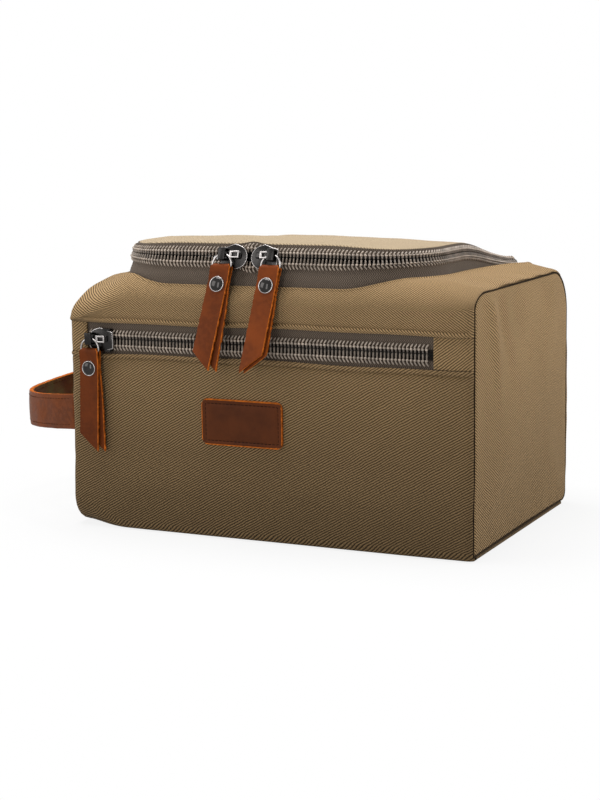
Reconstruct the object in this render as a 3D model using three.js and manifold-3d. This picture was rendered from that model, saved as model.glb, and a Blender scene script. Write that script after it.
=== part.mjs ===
// Canvas shaving kit bag: a soft box with a zipped lid, a zipped front pocket,
// leather pulls on wire rings, a blank leather patch and a leather strap on the left end.
// Millimetres, +X to the right, +Y to the back, +Z up, origin in the middle of the base.
import * as THREE from 'three';
import { mergeVertices } from 'three/addons/utils/BufferGeometryUtils.js';
import Module from 'manifold-3d';

const wasm = await Module();
wasm.setup();

// Whole bag
const bagWidth = 260;
const bagDepth = 172;
const bagHeight = 155;
const canvas = 1.4;
const liningCloth = 0.6;
const seamGap = 0.3;
const overrun = 20;

// Outline of the wrap, seen from the end
const shoulderReach = 22;
const shoulderDrop = 16;
const backTopRadius = 25;
const bottomRadius = 7;
const hingeDistanceFromBack = 14;

// End panels and what is inside
const endInset = 1.6;
const bindingWidth = 9.5;
const bindingThickness = 1.4;
const liningTopDrop = 7;
const boardThickness = 1.8;
const boardSideMargin = 15;
const boardFrontMargin = 12;
const boardCornerRadius = 6;

// Front pocket
const pocketBelowTop = 29.5;
const pocketSlotHeight = 18.5;
const pocketZipAboveHem = 7.8;
const pocketTapeTuck = 5;
const pocketDepth = 5;
const pocketLiningBottom = 12;
const pocketLiningAboveSlot = 7.5;
const leftTabWidth = 12;
const rightTabWidth = 23.5;
const pocketSideMargin = 4.6;

// Zip rows
const rowHeight = 4.3;
const rowThickness = 2.2;
const rowCorner = 0.7;
const rowSpacing = 2;
const tapeThickness = 0.8;
const tapeToRow = 0.1;

// Main zip, a U that is open towards the back
const zipTilt = THREE.MathUtils.degToRad(15);
const zipFrontSetback = 10;
const zipLeftMargin = 22;
const zipRightMargin = 37;
const zipCornerRadius = 45;
const zipRightSplay = 13;
const zipRise = 10.3;
const zipDropAtEnds = 9.3;
const zipDropStart = -10;
const zipEndDepth = 60;
const lowerTapeLength = 16.5;
const tapeBendBelowRow = 0.4;
const openingClearance = 4.8;
const lidEdgeAboveRail = 7.6;
const lidTapeTuck = 0.9;

// Lid
const lidCrownRise = 9.9;
const lidCrownDepth = -30;
const lidShoulderRise = 2.6;
const lidBackShoulder = 2.5;
const lidLiningSetback = 4;
const lidLiningSag = 2;
const lidSideOverhang = 2;
const lidCornerCut = 9;
const hingeClearance = 0.5;

// Sliders
const sliderLength = 17;
const sliderHeight = 14.4;
const sliderTailHeight = 12.8;
const plateThickness = 1.5;
const slideClearance = 0.3;
const flangeThickness = 1.2;
const flangeClearance = 0.4;
const flangeLength = 9;
const wedgeLength = 5;
const wedgeSetback = 1.5;
const bridgeOffset = 6;
const bridgeLength = 4.4;
const bridgeWall = 1.1;
const bridgeRise = 1;
const ringStandoff = 2.4;
const ridgeLength = 11;
const ridgeHeight = 0.8;
const ridgeWidth = 3;
const ringPlay = 0.8;
const ringSidePlay = 1.8;
const leftSliderPlace = -19.5;
const rightSliderPlace = 0.1;
const pocketSliderInset = 22.7;

// Rings
const ringWire = 1.4;
const ringStraight = 8.8;
const ringCorner = 1.7;
const wirePlay = 0.3;

// Leather pulls
const pullLeather = 1.1;
const pullWidth = 13;
const pullLength = 61;
const pullShortSide = 50;
const pullNeck = 8.4;
const pullShoulder = 1.6;
const pullLayersMeet = 5.5;
const pullLayerGap = 0.3;
const rivetPlace = 10.2;
const rivetRadius = 4.6;
const rivetDome = 1.7;
const rivetRim = 0.5;
const rivetPost = 1.2;
const rivetWasher = 3.6;
const rivetWasherThickness = 0.9;
const rivetTail = 0.3;
const leftPullLeanShare = 0.11;
const rightPullLeanShare = 0.06;
const pocketPullLeanShare = 0.03;

// Patch and handle
const patchWidth = 53;
const patchHeight = 27.5;
const patchRadius = 4;
const patchThickness = 1.6;
const patchCentreX = -12.5;
const patchBelowPocket = 37.5;
const strapWidth = 22;
const strapThickness = 3;
const strapReach = 70;
const strapFrontHeight = 69;
const strapBackHeight = 78;
const strapDroop = 10;
const strapEndMargin = 3.5;

// Smoothness
const arcSteps = 8;
const smallArcSteps = 6;
const legSteps = 6;
const strapSteps = 18;
const wireSides = 6;
const domeShares = [0.25, 0.6];
const domePower = 2.6;
const strapBowPower = 3;
const lidHingeSteps = 10;

// Colours taken from the photograph
const canvasLook = { color: 0x86714c, roughness: 0.92, metalness: 0 };
const liningLook = { color: 0x3a342b, roughness: 0.7, metalness: 0 };
const bindingLook = { color: 0x4a4136, roughness: 0.85, metalness: 0 };
const boardLook = { color: 0x2a2826, roughness: 0.6, metalness: 0 };
const tapeLook = { color: 0x6f655c, roughness: 0.85, metalness: 0 };
const coilLook = { color: 0x9a9188, roughness: 0.4, metalness: 0.1 };
const metalLook = { color: 0x4a4648, roughness: 0.25, metalness: 1 };
const leatherLook = { color: 0x7a4422, roughness: 0.5, metalness: 0 };
const darkLeatherLook = { color: 0x5e3520, roughness: 0.5, metalness: 0 };

// Derived places shared by several pieces
const halfWidth = bagWidth / 2;
const halfDepth = bagDepth / 2;
const frontFace = -halfDepth;
const hingeDepth = halfDepth - hingeDistanceFromBack;
const pocketUpperHemHeight = bagHeight - pocketBelowTop;
const pocketLowerHemHeight = pocketUpperHemHeight - pocketSlotHeight;
const pocketZipHeight = pocketLowerHemHeight + pocketZipAboveHem;
const zipHeight = bagHeight + zipRise;
const lidCrownHeight = zipHeight + lidCrownRise;
const backArcCentreDepth = halfDepth - backTopRadius;
const backArcCentreHeight = bagHeight - backTopRadius;
const hingeSurface = backArcCentreHeight
  + Math.sqrt(backTopRadius ** 2 - (hingeDepth - backArcCentreDepth) ** 2);
const panelBack = frontFace + canvas;
const endFace = halfWidth - endInset;
const endInside = endFace - canvas;
const endLiningInside = endInside - seamGap - liningCloth;
const liningInset = canvas + seamGap;
const insideInset = liningInset + liningCloth + seamGap;
const pocketRail = panelBack + seamGap + tapeToRow;
const pocketLiningFace = pocketRail + tapeToRow + tapeThickness + pocketDepth;
const frontLiningFace = pocketLiningFace + liningCloth + seamGap;
const rowInner = rowSpacing / 2;
const rowOuter = rowInner + rowHeight;
const plateFace = rowThickness + slideClearance;
const plateOuter = plateFace + plateThickness;
const ringAxisOut = plateOuter + ringStandoff;
const ringTopRadius = ringStraight / 2 + ringCorner;
const ringHeight = ringCorner + ringTopRadius;
const group = new THREE.Group();

// Solids and meshes
function cleaned(geometry) {
  const bare = new THREE.BufferGeometry();
  bare.setAttribute('position', geometry.getAttribute('position').clone());
  if (geometry.index) bare.setIndex(geometry.index.clone());
  return mergeVertices(bare);
}

function solid(geometry) {
  const bare = cleaned(geometry);
  const vertProperties = new Float32Array(bare.getAttribute('position').array);
  const triVerts = new Uint32Array(bare.index.array);
  return new wasm.Manifold(new wasm.Mesh({ numProp: 3, vertProperties, triVerts }));
}

function geometryOf(body) {
  const mesh = body.getMesh();
  const geometry = new THREE.BufferGeometry();
  const position = new THREE.BufferAttribute(new Float32Array(mesh.vertProperties), 3);
  geometry.setAttribute('position', position);
  geometry.setIndex(new THREE.BufferAttribute(new Uint32Array(mesh.triVerts), 1));
  return geometry;
}

function joined(geometries) {
  return geometries.map(solid).reduce((all, next) => all.add(next));
}

function signedVolume(points, triangles) {
  let volume = 0;
  for (let i = 0; i < triangles.length; i += 3) {
    const [a, b, c] = [triangles[i], triangles[i + 1], triangles[i + 2]].map((k) => points[k]);
    volume += a.dot(new THREE.Vector3().crossVectors(b, c));
  }
  return volume;
}

function closedGeometry(points, triangles) {
  if (signedVolume(points, triangles) < 0) triangles.reverse();
  const geometry = new THREE.BufferGeometry().setFromPoints(points);
  geometry.setIndex(triangles);
  return geometry;
}

// Skins a row of matching rings of points; ends are capped unless the row closes on itself
function skinned(rings, closed) {
  const sides = rings[0].length;
  const points = rings.flat();
  const triangles = [];
  const spans = closed ? rings.length : rings.length - 1;
  for (let r = 0; r < spans; r += 1) {
    for (let s = 0; s < sides; s += 1) {
      const next = ((r + 1) % rings.length) * sides;
      const a = r * sides + s;
      const b = r * sides + ((s + 1) % sides);
      const c = next + ((s + 1) % sides);
      const d = next + s;
      triangles.push(a, b, c, a, c, d);
    }
  }
  if (!closed) {
    const last = (rings.length - 1) * sides;
    for (let s = 1; s < sides - 1; s += 1) {
      triangles.push(0, s + 1, s);
      triangles.push(last, last + s, last + s + 1);
    }
  }
  return closedGeometry(points, triangles);
}

function add(name, geometry, look, parent = group) {
  geometry.computeVertexNormals();
  const mesh = new THREE.Mesh(geometry, new THREE.MeshStandardMaterial(look));
  mesh.name = name;
  parent.add(mesh);
  return mesh;
}

// Extrusions along each axis, from an outline in the other two
function extruded(shape, from, to) {
  const depth = to - from;
  const options = { depth, bevelEnabled: false, curveSegments: smallArcSteps };
  return new THREE.ExtrudeGeometry(shape, options).translate(0, 0, from);
}

function alongX(shape, from, to) {
  const turn = new THREE.Matrix4().makeBasis(
    new THREE.Vector3(0, 1, 0),
    new THREE.Vector3(0, 0, 1),
    new THREE.Vector3(1, 0, 0),
  );
  return extruded(shape, from, to).applyMatrix4(turn);
}

function alongY(shape, from, to) {
  const turn = new THREE.Matrix4().makeBasis(
    new THREE.Vector3(1, 0, 0),
    new THREE.Vector3(0, 0, 1),
    new THREE.Vector3(0, -1, 0),
  );
  return extruded(shape, -to, -from).applyMatrix4(turn);
}

function box(low, high) {
  const size = new THREE.Vector3().subVectors(high, low);
  const middle = new THREE.Vector3().addVectors(low, high).multiplyScalar(1 / 2);
  const geometry = new THREE.BoxGeometry(size.x, size.y, size.z);
  return geometry.translate(middle.x, middle.y, middle.z);
}

function at(x, y, z) {
  return new THREE.Vector3(x, y, z);
}

// Points of an elliptical arc, from one angle to another in quarter turns
function arc(centreX, centreY, reachX, reachY, fromQuarter, toQuarter) {
  return Array.from({ length: arcSteps + 1 }, (_, i) => {
    const quarter = THREE.MathUtils.lerp(fromQuarter, toQuarter, i / arcSteps);
    const angle = (quarter * Math.PI) / 2;
    return new THREE.Vector2(centreX + reachX * Math.cos(angle), centreY + reachY * Math.sin(angle));
  });
}

// Corner arcs of the wrap, seen from the right end, at a given inset
function frontBottomArc(inset) {
  const radius = bottomRadius - inset;
  return arc(frontFace + bottomRadius, bottomRadius, radius, radius, 2, 3);
}

function backBottomArc(inset) {
  const radius = bottomRadius - inset;
  return arc(halfDepth - bottomRadius, bottomRadius, radius, radius, 3, 4);
}

function backTopArc(inset, endQuarter) {
  const radius = backTopRadius - inset;
  return arc(backArcCentreDepth, backArcCentreHeight, radius, radius, 0, endQuarter);
}

function shoulderArc(inset) {
  const centreDepth = frontFace + shoulderReach;
  const centreHeight = bagHeight - shoulderDrop;
  return arc(centreDepth, centreHeight, shoulderReach - inset, shoulderDrop - inset, 1, 2);
}

const hingeQuarter = Math.acos((hingeDepth - backArcCentreDepth) / backTopRadius) / (Math.PI / 2);

// A band of cloth between an outline and the same outline set in by its thickness
function band(outline, inset, thickness) {
  return new THREE.Shape([...outline(inset), ...outline(inset + thickness).reverse()]);
}

function wholeOutline(inset) {
  return [
    ...frontBottomArc(inset),
    ...backBottomArc(inset),
    ...backTopArc(inset, 1),
    ...shoulderArc(inset),
  ];
}

// Canvas wrap
function frontLowerPanel() {
  const outline = (inset) => [
    new THREE.Vector2(frontFace + inset, pocketLowerHemHeight),
    ...frontBottomArc(inset),
  ];
  return alongX(band(outline, 0, canvas), -halfWidth, halfWidth);
}

function bottomPanel() {
  const reach = halfDepth - bottomRadius - seamGap;
  return box(at(-halfWidth, -reach, 0), at(halfWidth, reach, canvas));
}

function backPanel() {
  const outline = (inset) => [...backBottomArc(inset), ...backTopArc(inset, hingeQuarter)];
  return alongX(band(outline, 0, canvas), -halfWidth, halfWidth);
}

function topFrame() {
  const start = hingeDepth - seamGap;
  const startQuarter = Math.acos((start - backArcCentreDepth) / backTopRadius) / (Math.PI / 2);
  const outline = (inset) => {
    const radius = backTopRadius - inset;
    return [
      ...arc(backArcCentreDepth, backArcCentreHeight, radius, radius, startQuarter, 1),
      ...shoulderArc(inset),
      new THREE.Vector2(frontFace + inset, pocketUpperHemHeight),
    ];
  };
  const whole = solid(alongX(band(outline, 0, canvas), -halfWidth, halfWidth));
  const mouth = zipPath(openingClearance).map(({ x, y }) => new THREE.Vector2(x, y));
  mouth.unshift(new THREE.Vector2(mouth[0].x, hingeDepth + overrun));
  mouth.push(new THREE.Vector2(mouth[mouth.length - 1].x, hingeDepth + overrun));
  const cutter = extruded(new THREE.Shape(mouth), pocketUpperHemHeight, bagHeight + overrun);
  return geometryOf(whole.subtract(solid(cutter)));
}

function endPanel(side) {
  const shape = new THREE.Shape(wholeOutline(liningInset));
  const [from, to] = side < 0 ? [-endFace, -endInside] : [endInside, endFace];
  return alongX(shape, from, to);
}

// Lining, bindings and base board
function wrapLining() {
  const outline = (inset) => [
    new THREE.Vector2(frontLiningFace + inset, bagHeight - liningTopDrop - shoulderDrop / 2),
    new THREE.Vector2(frontLiningFace + inset, liningInset + inset),
    ...backBottomArc(liningInset + inset),
    ...backTopArc(liningInset + inset, hingeQuarter),
  ];
  return alongX(band(outline, 0, liningCloth), -endLiningInside + seamGap, endLiningInside - seamGap);
}

function endLining(side) {
  const shape = new THREE.Shape(wholeOutline(liningInset));
  const outer = endInside - seamGap;
  const [from, to] = side < 0 ? [-outer, -endLiningInside] : [endLiningInside, outer];
  return alongX(shape, from, to);
}

// The seam binding runs round inside each end, clear of the wrap lining
function bindingOutline(inset) {
  const front = frontLiningFace + liningCloth + seamGap + inset;
  const shoulderCentre = frontFace + shoulderReach;
  const top = shoulderDrop - insideInset - inset;
  return [
    new THREE.Vector2(front, insideInset + inset),
    ...backBottomArc(insideInset + inset),
    ...backTopArc(insideInset + inset, 1),
    ...arc(shoulderCentre, bagHeight - shoulderDrop, shoulderCentre - front, top, 1, 2),
  ];
}

function seamBinding(side) {
  const shape = new THREE.Shape(bindingOutline(0));
  shape.holes.push(new THREE.Path(bindingOutline(bindingThickness)));
  const outer = endLiningInside - seamGap;
  const inner = outer - bindingWidth;
  const [from, to] = side < 0 ? [-outer, -inner] : [inner, outer];
  return alongX(shape, from, to);
}

function roundedRectangle(left, right, low, high, radius) {
  const shape = new THREE.Shape();
  shape.moveTo(left + radius, low);
  shape.lineTo(right - radius, low);
  shape.absarc(right - radius, low + radius, radius, -Math.PI / 2, 0);
  shape.lineTo(right, high - radius);
  shape.absarc(right - radius, high - radius, radius, 0, Math.PI / 2);
  shape.lineTo(left + radius, high);
  shape.absarc(left + radius, high - radius, radius, Math.PI / 2, Math.PI);
  shape.lineTo(left, low + radius);
  shape.absarc(left + radius, low + radius, radius, Math.PI, Math.PI * 1.5);
  return shape;
}

function baseBoard() {
  const side = halfWidth - boardSideMargin;
  const reach = halfDepth - boardFrontMargin;
  const shape = roundedRectangle(-side, side, -reach, reach, boardCornerRadius);
  return extruded(shape, insideInset, insideInset + boardThickness);
}

// Front pocket
function pocketTab(left, right) {
  const low = pocketLowerHemHeight + seamGap;
  const high = pocketUpperHemHeight - seamGap;
  return box(at(left, frontFace, low), at(right, panelBack, high));
}

function pocketTape(low, high) {
  const reach = halfWidth - pocketSideMargin;
  const face = pocketRail + tapeToRow;
  return box(at(-reach, face, low), at(reach, face + tapeThickness, high));
}

// Section of a row of teeth: height above the meeting line, and distance out from the tape
function rowSection(sign) {
  const near = sign * rowInner;
  const far = sign * rowOuter;
  const soft = sign * rowCorner;
  return [
    [near, 0],
    [far, 0],
    [far, rowThickness - rowCorner],
    [far - soft, rowThickness],
    [near + soft, rowThickness],
    [near, rowThickness - rowCorner],
  ];
}

function pocketRow(sign) {
  const left = -halfWidth + leftTabWidth + seamGap;
  const right = halfWidth - rightTabWidth - seamGap;
  const ring = (x) => rowSection(sign).map(([up, out]) => at(x, pocketRail - out, pocketZipHeight + up));
  return skinned([ring(left), ring(right)], false);
}

function pocketLining() {
  const reach = halfWidth - pocketSideMargin;
  const back = pocketLiningFace + liningCloth;
  const top = pocketUpperHemHeight + pocketLiningAboveSlot;
  return box(at(-reach, pocketLiningFace, pocketLiningBottom), at(reach, back, top));
}

// Main zip: the line where its rows meet, seen from above, as places with an outward direction
function zipDrop(y) {
  const share = THREE.MathUtils.clamp((y - zipDropStart) / (zipEndDepth - zipDropStart), 0, 1);
  return (zipDropAtEnds * (1 - Math.cos(Math.PI * share))) / 2;
}

function zipPath(offset, endDepth = zipEndDepth) {
  const left = -halfWidth + zipLeftMargin;
  const right = halfWidth - zipRightMargin;
  const front = frontFace + zipFrontSetback;
  const cornerDepth = front + zipCornerRadius;
  const places = [];
  const put = (x, y, outX, outY) => {
    const z = zipHeight - zipDrop(y);
    places.push({ x: x + outX * offset, y: y + outY * offset, z, outX, outY });
  };
  const turn = (centreX, start) => {
    for (let i = 0; i <= arcSteps; i += 1) {
      const angle = start + ((Math.PI / 2) * i) / arcSteps;
      const outX = Math.cos(angle);
      const outY = Math.sin(angle);
      put(centreX + zipCornerRadius * outX, cornerDepth + zipCornerRadius * outY, outX, outY);
    }
  };
  for (let i = 0; i < legSteps; i += 1) {
    put(left, THREE.MathUtils.lerp(endDepth, cornerDepth, i / legSteps), -1, 0);
  }
  turn(left + zipCornerRadius, Math.PI);
  turn(right - zipCornerRadius, Math.PI * 1.5);
  for (let i = legSteps - 1; i >= 0; i -= 1) {
    const y = THREE.MathUtils.lerp(endDepth, cornerDepth, i / legSteps);
    const legLength = zipEndDepth - cornerDepth;
    const share = (y - cornerDepth) / legLength;
    const turned = Math.atan2(2 * zipRightSplay * share, legLength);
    put(right + zipRightSplay * share ** 2, y, Math.cos(turned), -Math.sin(turned));
  }
  return places;
}

// Turns a height along the leaning zip and a distance out of it into a point in space
function onZip(place, up, out) {
  const outward = out * Math.cos(zipTilt) - up * Math.sin(zipTilt);
  const z = place.z + up * Math.cos(zipTilt) + out * Math.sin(zipTilt);
  return at(place.x + place.outX * outward, place.y + place.outY * outward, z);
}

function alongZip(section) {
  const rings = zipPath(0).map((place) => section(place));
  return skinned(rings, false);
}

function mainRow(sign) {
  return alongZip((place) => rowSection(sign).map(([up, out]) => onZip(place, up, out)));
}

function lowerTape() {
  const footHeight = zipHeight - lowerTapeLength * Math.cos(zipTilt);
  const footOut = lowerTapeLength * Math.sin(zipTilt);
  const foot = (place, out) => at(place.x + place.outX * out, place.y + place.outY * out, footHeight);
  const bend = -rowOuter - tapeBendBelowRow;
  return alongZip((place) => [
    onZip(place, -rowInner, -tapeToRow),
    onZip(place, bend, -tapeToRow),
    foot(place, footOut),
    foot(place, footOut - tapeThickness),
    onZip(place, bend, -tapeToRow - tapeThickness),
    onZip(place, -rowInner, -tapeToRow - tapeThickness),
  ]);
}

function upperTape() {
  const top = lidEdgeAboveRail + lidTapeTuck;
  return alongZip((place) => [
    onZip(place, rowInner, -tapeToRow),
    onZip(place, top, -tapeToRow),
    onZip(place, top, -tapeToRow - tapeThickness),
    onZip(place, rowInner, -tapeToRow - tapeThickness),
  ]);
}

// Lid: rings of points from the edge in to the crown, on the upper side and the under side
function lidEdge(up, out, overhang, backDepth, backHeight) {
  const points = zipPath(0, zipEndDepth + overhang).map((place) => onZip(place, up, out));
  const left = points[0].x + lidCornerCut;
  const right = points[points.length - 1].x - lidCornerCut;
  for (let i = lidHingeSteps; i >= 0; i -= 1) {
    const x = THREE.MathUtils.lerp(left, right, i / lidHingeSteps);
    points.push(at(x, backDepth, backHeight));
  }
  return points;
}

function lidSkin({ lower, inwards, overhang, setback, sag, thickness }) {
  const backDepth = hingeDepth - hingeClearance - setback;
  const crown = at((zipRightEdge() + zipLeftEdge()) / 2, lidCrownDepth, lidCrownHeight - sag);
  const layers = (within) => {
    const drop = lower + within;
    const out = canvas + seamGap - tapeToRow - inwards - within;
    const shoulderUp = lidEdgeAboveRail + lidShoulderRise - drop;
    const edge = lidEdge(lidEdgeAboveRail, out, overhang, backDepth - drop, hingeSurface - drop);
    const shoulderDepth = backDepth - lidBackShoulder - drop;
    const shoulderHeight = hingeSurface + lidBackShoulder / 2 - drop;
    const shoulder = lidEdge(shoulderUp, out, overhang, shoulderDepth, shoulderHeight);
    const top = at(crown.x, crown.y, crown.z - drop);
    const rings = domeShares.map((share) => {
      const rise = 1 - (1 - share) ** domePower;
      return shoulder.map((p) => {
        const along = p.clone().lerp(top, share);
        along.z = THREE.MathUtils.lerp(p.z, top.z, rise);
        return along;
      });
    });
    return { rings: [edge, shoulder, ...rings], top };
  };
  return shell(layers(0), layers(thickness));
}

function zipLeftEdge() {
  return -halfWidth + zipLeftMargin;
}

function zipRightEdge() {
  return halfWidth - zipRightMargin;
}

// Closes an upper skin over a lower one, each a set of rings round a top point
function shell(upper, under) {
  const count = upper.rings[0].length;
  const points = [];
  const triangles = [];
  const bases = [];
  for (const side of [upper, under]) {
    bases.push(points.length);
    points.push(...side.rings.flat(), side.top);
  }
  const quad = (a, b, c, d) => triangles.push(a, b, c, a, c, d);
  [upper, under].forEach((side, which) => {
    const base = bases[which];
    const last = side.rings.length - 1;
    const tip = base + side.rings.length * count;
    for (let s = 0; s < count; s += 1) {
      const t = (s + 1) % count;
      for (let r = 0; r < last; r += 1) {
        const [a, b] = [base + r * count + s, base + r * count + t];
        const [c, d] = [b + count, a + count];
        if (which === 0) quad(a, b, c, d);
        else quad(b, a, d, c);
      }
      const [a, b] = [base + last * count + s, base + last * count + t];
      if (which === 0) triangles.push(a, b, tip);
      else triangles.push(b, a, tip);
    }
  });
  for (let s = 0; s < count; s += 1) {
    const t = (s + 1) % count;
    quad(bases[1] + s, bases[1] + t, bases[0] + t, bases[0] + s);
  }
  return closedGeometry(points, triangles);
}

// Slider, in its own frame: x along the zip, y into the bag, z across the zip
function plateOutline(nose) {
  const tip = (nose * sliderLength) / 2;
  const shape = new THREE.Shape();
  shape.moveTo(-tip, -sliderTailHeight / 2);
  shape.lineTo(0, -sliderHeight / 2);
  shape.quadraticCurveTo(tip, -sliderHeight / 2, tip, 0);
  shape.quadraticCurveTo(tip, sliderHeight / 2, 0, sliderHeight / 2);
  shape.lineTo(-tip, sliderTailHeight / 2);
  return shape;
}

function sliderFlange(nose, sign) {
  const near = sign * (rowOuter + flangeClearance);
  const far = near + sign * flangeThickness;
  const middle = (-nose * flangeLength) / 4;
  const low = at(middle - flangeLength / 2, -plateOuter, Math.min(near, far));
  const high = at(middle + flangeLength / 2, -slideClearance, Math.max(near, far));
  return box(low, high);
}

function sliderBridge(ringSide) {
  const x = ringSide * bridgeOffset;
  const inner = ringWire / 2 + ringSidePlay;
  const outer = inner + bridgeWall;
  const under = -(ringAxisOut + ringWire / 2 + ringPlay);
  const over = under - bridgeWall;
  const pieces = [];
  const put = (low, high) => {
    pieces.push(box(at(x - bridgeLength / 2, over, low), at(x + bridgeLength / 2, -plateFace, high)));
  };
  put(bridgeRise - outer, bridgeRise - inner);
  put(bridgeRise + inner, bridgeRise + outer);
  const barLow = at(x - bridgeLength / 2, over, bridgeRise - outer);
  const barHigh = at(x + bridgeLength / 2, under, bridgeRise + outer);
  pieces.push(box(barLow, barHigh));
  const ridgeLow = at(-ridgeLength / 2, -plateOuter - ridgeHeight, bridgeRise - ridgeWidth / 2);
  const ridgeHigh = at(ridgeLength / 2, -plateFace, bridgeRise + ridgeWidth / 2);
  pieces.push(box(ridgeLow, ridgeHigh));
  return pieces;
}

function sliderBody(nose, ringSide, flanges) {
  const backFace = tapeToRow + tapeThickness + slideClearance;
  const wedgeEnd = (nose * sliderLength) / 2 - nose * wedgeSetback;
  const wedgeStart = wedgeEnd - nose * wedgeLength;
  const wedge = rowInner - slideClearance;
  const low = at(Math.min(wedgeStart, wedgeEnd), -plateOuter, -wedge);
  const high = at(Math.max(wedgeStart, wedgeEnd), backFace + plateThickness, wedge);
  return geometryOf(joined([
    alongY(plateOutline(nose), -plateOuter, -plateFace),
    alongY(plateOutline(nose), backFace, backFace + plateThickness),
    box(low, high),
    ...flanges.map((sign) => sliderFlange(nose, sign)),
    ...sliderBridge(ringSide),
  ]));
}

// Wire ring with a straight foot for the leather, its top at the origin
function ringPath() {
  const half = ringStraight / 2;
  const bottom = -ringHeight;
  const corner = bottom + ringCorner;
  const points = [];
  const turn = (centreX, radius, from, to, steps) => {
    for (let i = 0; i <= steps; i += 1) {
      const angle = THREE.MathUtils.lerp(from, to, i / steps) * (Math.PI / 2);
      points.push(at(centreX + radius * Math.cos(angle), 0, corner + radius * Math.sin(angle)));
    }
  };
  turn(-half, ringCorner, 2, 3, arcSteps / 2);
  turn(half, ringCorner, 3, 4, arcSteps / 2);
  turn(0, ringTopRadius, 0, 2, arcSteps * 2);
  return points.filter((p, i) => p.distanceTo(points[(i + 1) % points.length]) > wirePlay / 2);
}

function wireRing() {
  const path = ringPath();
  const rings = path.map((p, i) => {
    const before = path[(i + path.length - 1) % path.length];
    const after = path[(i + 1) % path.length];
    const along = new THREE.Vector3().subVectors(after, before).normalize();
    const inwards = new THREE.Vector3().crossVectors(along, at(0, 1, 0));
    return Array.from({ length: wireSides }, (_, k) => {
      const angle = (2 * Math.PI * k) / wireSides;
      const reach = inwards.clone().multiplyScalar((ringWire / 2) * Math.cos(angle));
      return p.clone().add(reach).add(at(0, (ringWire / 2) * Math.sin(angle), 0));
    });
  });
  return skinned(rings, true);
}

// Leather pull: a folded strip, its section from the side meeting its outline from the front
function pullSection() {
  const inner = ringWire / 2 + wirePlay;
  const outer = inner + pullLeather;
  const meet = pullLayerGap / 2;
  const half = (radius) => arc(0, 0, radius, radius, 0, 2);
  const shape = new THREE.Shape([
    new THREE.Vector2(meet + pullLeather, -pullLength - overrun),
    new THREE.Vector2(meet + pullLeather, -pullLayersMeet),
    ...half(outer),
    new THREE.Vector2(-meet - pullLeather, -pullLayersMeet),
    new THREE.Vector2(-meet - pullLeather, -pullLength - overrun),
    new THREE.Vector2(-meet, -pullLength - overrun),
    new THREE.Vector2(-meet, -pullLayersMeet),
    ...half(inner).reverse(),
    new THREE.Vector2(meet, -pullLayersMeet),
    new THREE.Vector2(meet, -pullLength - overrun),
  ]);
  return alongX(shape, -pullLength, pullLength);
}

function pullOutline(leanShare, tipSide) {
  const lean = (down) => -leanShare * down;
  const rightLength = tipSide > 0 ? pullLength : pullShortSide;
  const leftLength = tipSide > 0 ? pullShortSide : pullLength;
  const half = pullWidth / 2;
  return alongY(new THREE.Shape([
    new THREE.Vector2(-pullNeck / 2, pullShoulder + overrun),
    new THREE.Vector2(-pullNeck / 2, -pullShoulder),
    new THREE.Vector2(-half, -pullShoulder),
    new THREE.Vector2(-half + lean(leftLength), -leftLength),
    new THREE.Vector2(half + lean(rightLength), -rightLength),
    new THREE.Vector2(half, -pullShoulder),
    new THREE.Vector2(pullNeck / 2, -pullShoulder),
    new THREE.Vector2(pullNeck / 2, pullShoulder + overrun),
  ]), -overrun, overrun);
}

function turned(outline) {
  const points = outline.map(([radius, height]) => new THREE.Vector2(radius, height));
  return new THREE.LatheGeometry(points, arcSteps * 2);
}

// Turns a lathed piece to face the front and moves it to the rivet's place
function atRivet(geometry, leanShare) {
  return geometry.rotateX(Math.PI).translate(-leanShare * rivetPlace, 0, -rivetPlace);
}

function pullLeatherStrip(leanShare, tipSide) {
  const hole = rivetPost + wirePlay;
  const drill = turned([[0, -overrun], [hole, -overrun], [hole, overrun], [0, overrun]]);
  const strip = solid(pullSection()).intersect(solid(pullOutline(leanShare, tipSide)));
  return geometryOf(strip.subtract(solid(atRivet(drill, leanShare))));
}

const pullFace = pullLayerGap / 2 + pullLeather;

function rivetCap(leanShare) {
  const face = pullFace + seamGap;
  const end = pullFace + seamGap + rivetWasherThickness + rivetTail;
  const dome = Array.from({ length: smallArcSteps }, (_, i) => {
    const angle = ((Math.PI / 2) * i) / smallArcSteps;
    return [rivetRadius * Math.cos(angle), face + rivetRim + (rivetDome - rivetRim) * Math.sin(angle)];
  });
  const outline = [[0, -end], [rivetPost, -end], [rivetPost, face], [rivetRadius, face], ...dome];
  return atRivet(turned([...outline, [0, face + rivetDome]]), leanShare);
}

function rivetBack(leanShare) {
  const bore = rivetPost + wirePlay;
  const near = -pullFace - seamGap;
  const far = near - rivetWasherThickness;
  const outline = [[bore, far], [rivetWasher, far], [rivetWasher, near], [bore, near], [bore, far]];
  return atRivet(turned(outline), leanShare);
}

// One slider with its ring, leather and rivet, on a zip that leans back by the given tilt
function zipPuller(name, place, tilt, nose, ringSide, flanges, leanShare, tipSide) {
  const frame = new THREE.Group();
  frame.position.copy(place);
  frame.rotation.x = -tilt;
  group.add(frame);
  add(`${name}_slider`, sliderBody(nose, ringSide, flanges), metalLook, frame);
  const hanging = new THREE.Group();
  hanging.position.set(ringSide * bridgeOffset, -ringAxisOut, bridgeRise);
  frame.add(hanging);
  add(`${name}_ring`, wireRing(), metalLook, hanging);
  const pull = new THREE.Group();
  pull.position.set(0, 0, -ringHeight);
  hanging.add(pull);
  add(`${name}_pull`, pullLeatherStrip(leanShare, tipSide), leatherLook, pull);
  add(`${name}_rivet_cap`, rivetCap(leanShare), metalLook, pull);
  add(`${name}_rivet_back`, rivetBack(leanShare), metalLook, pull);
}

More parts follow.
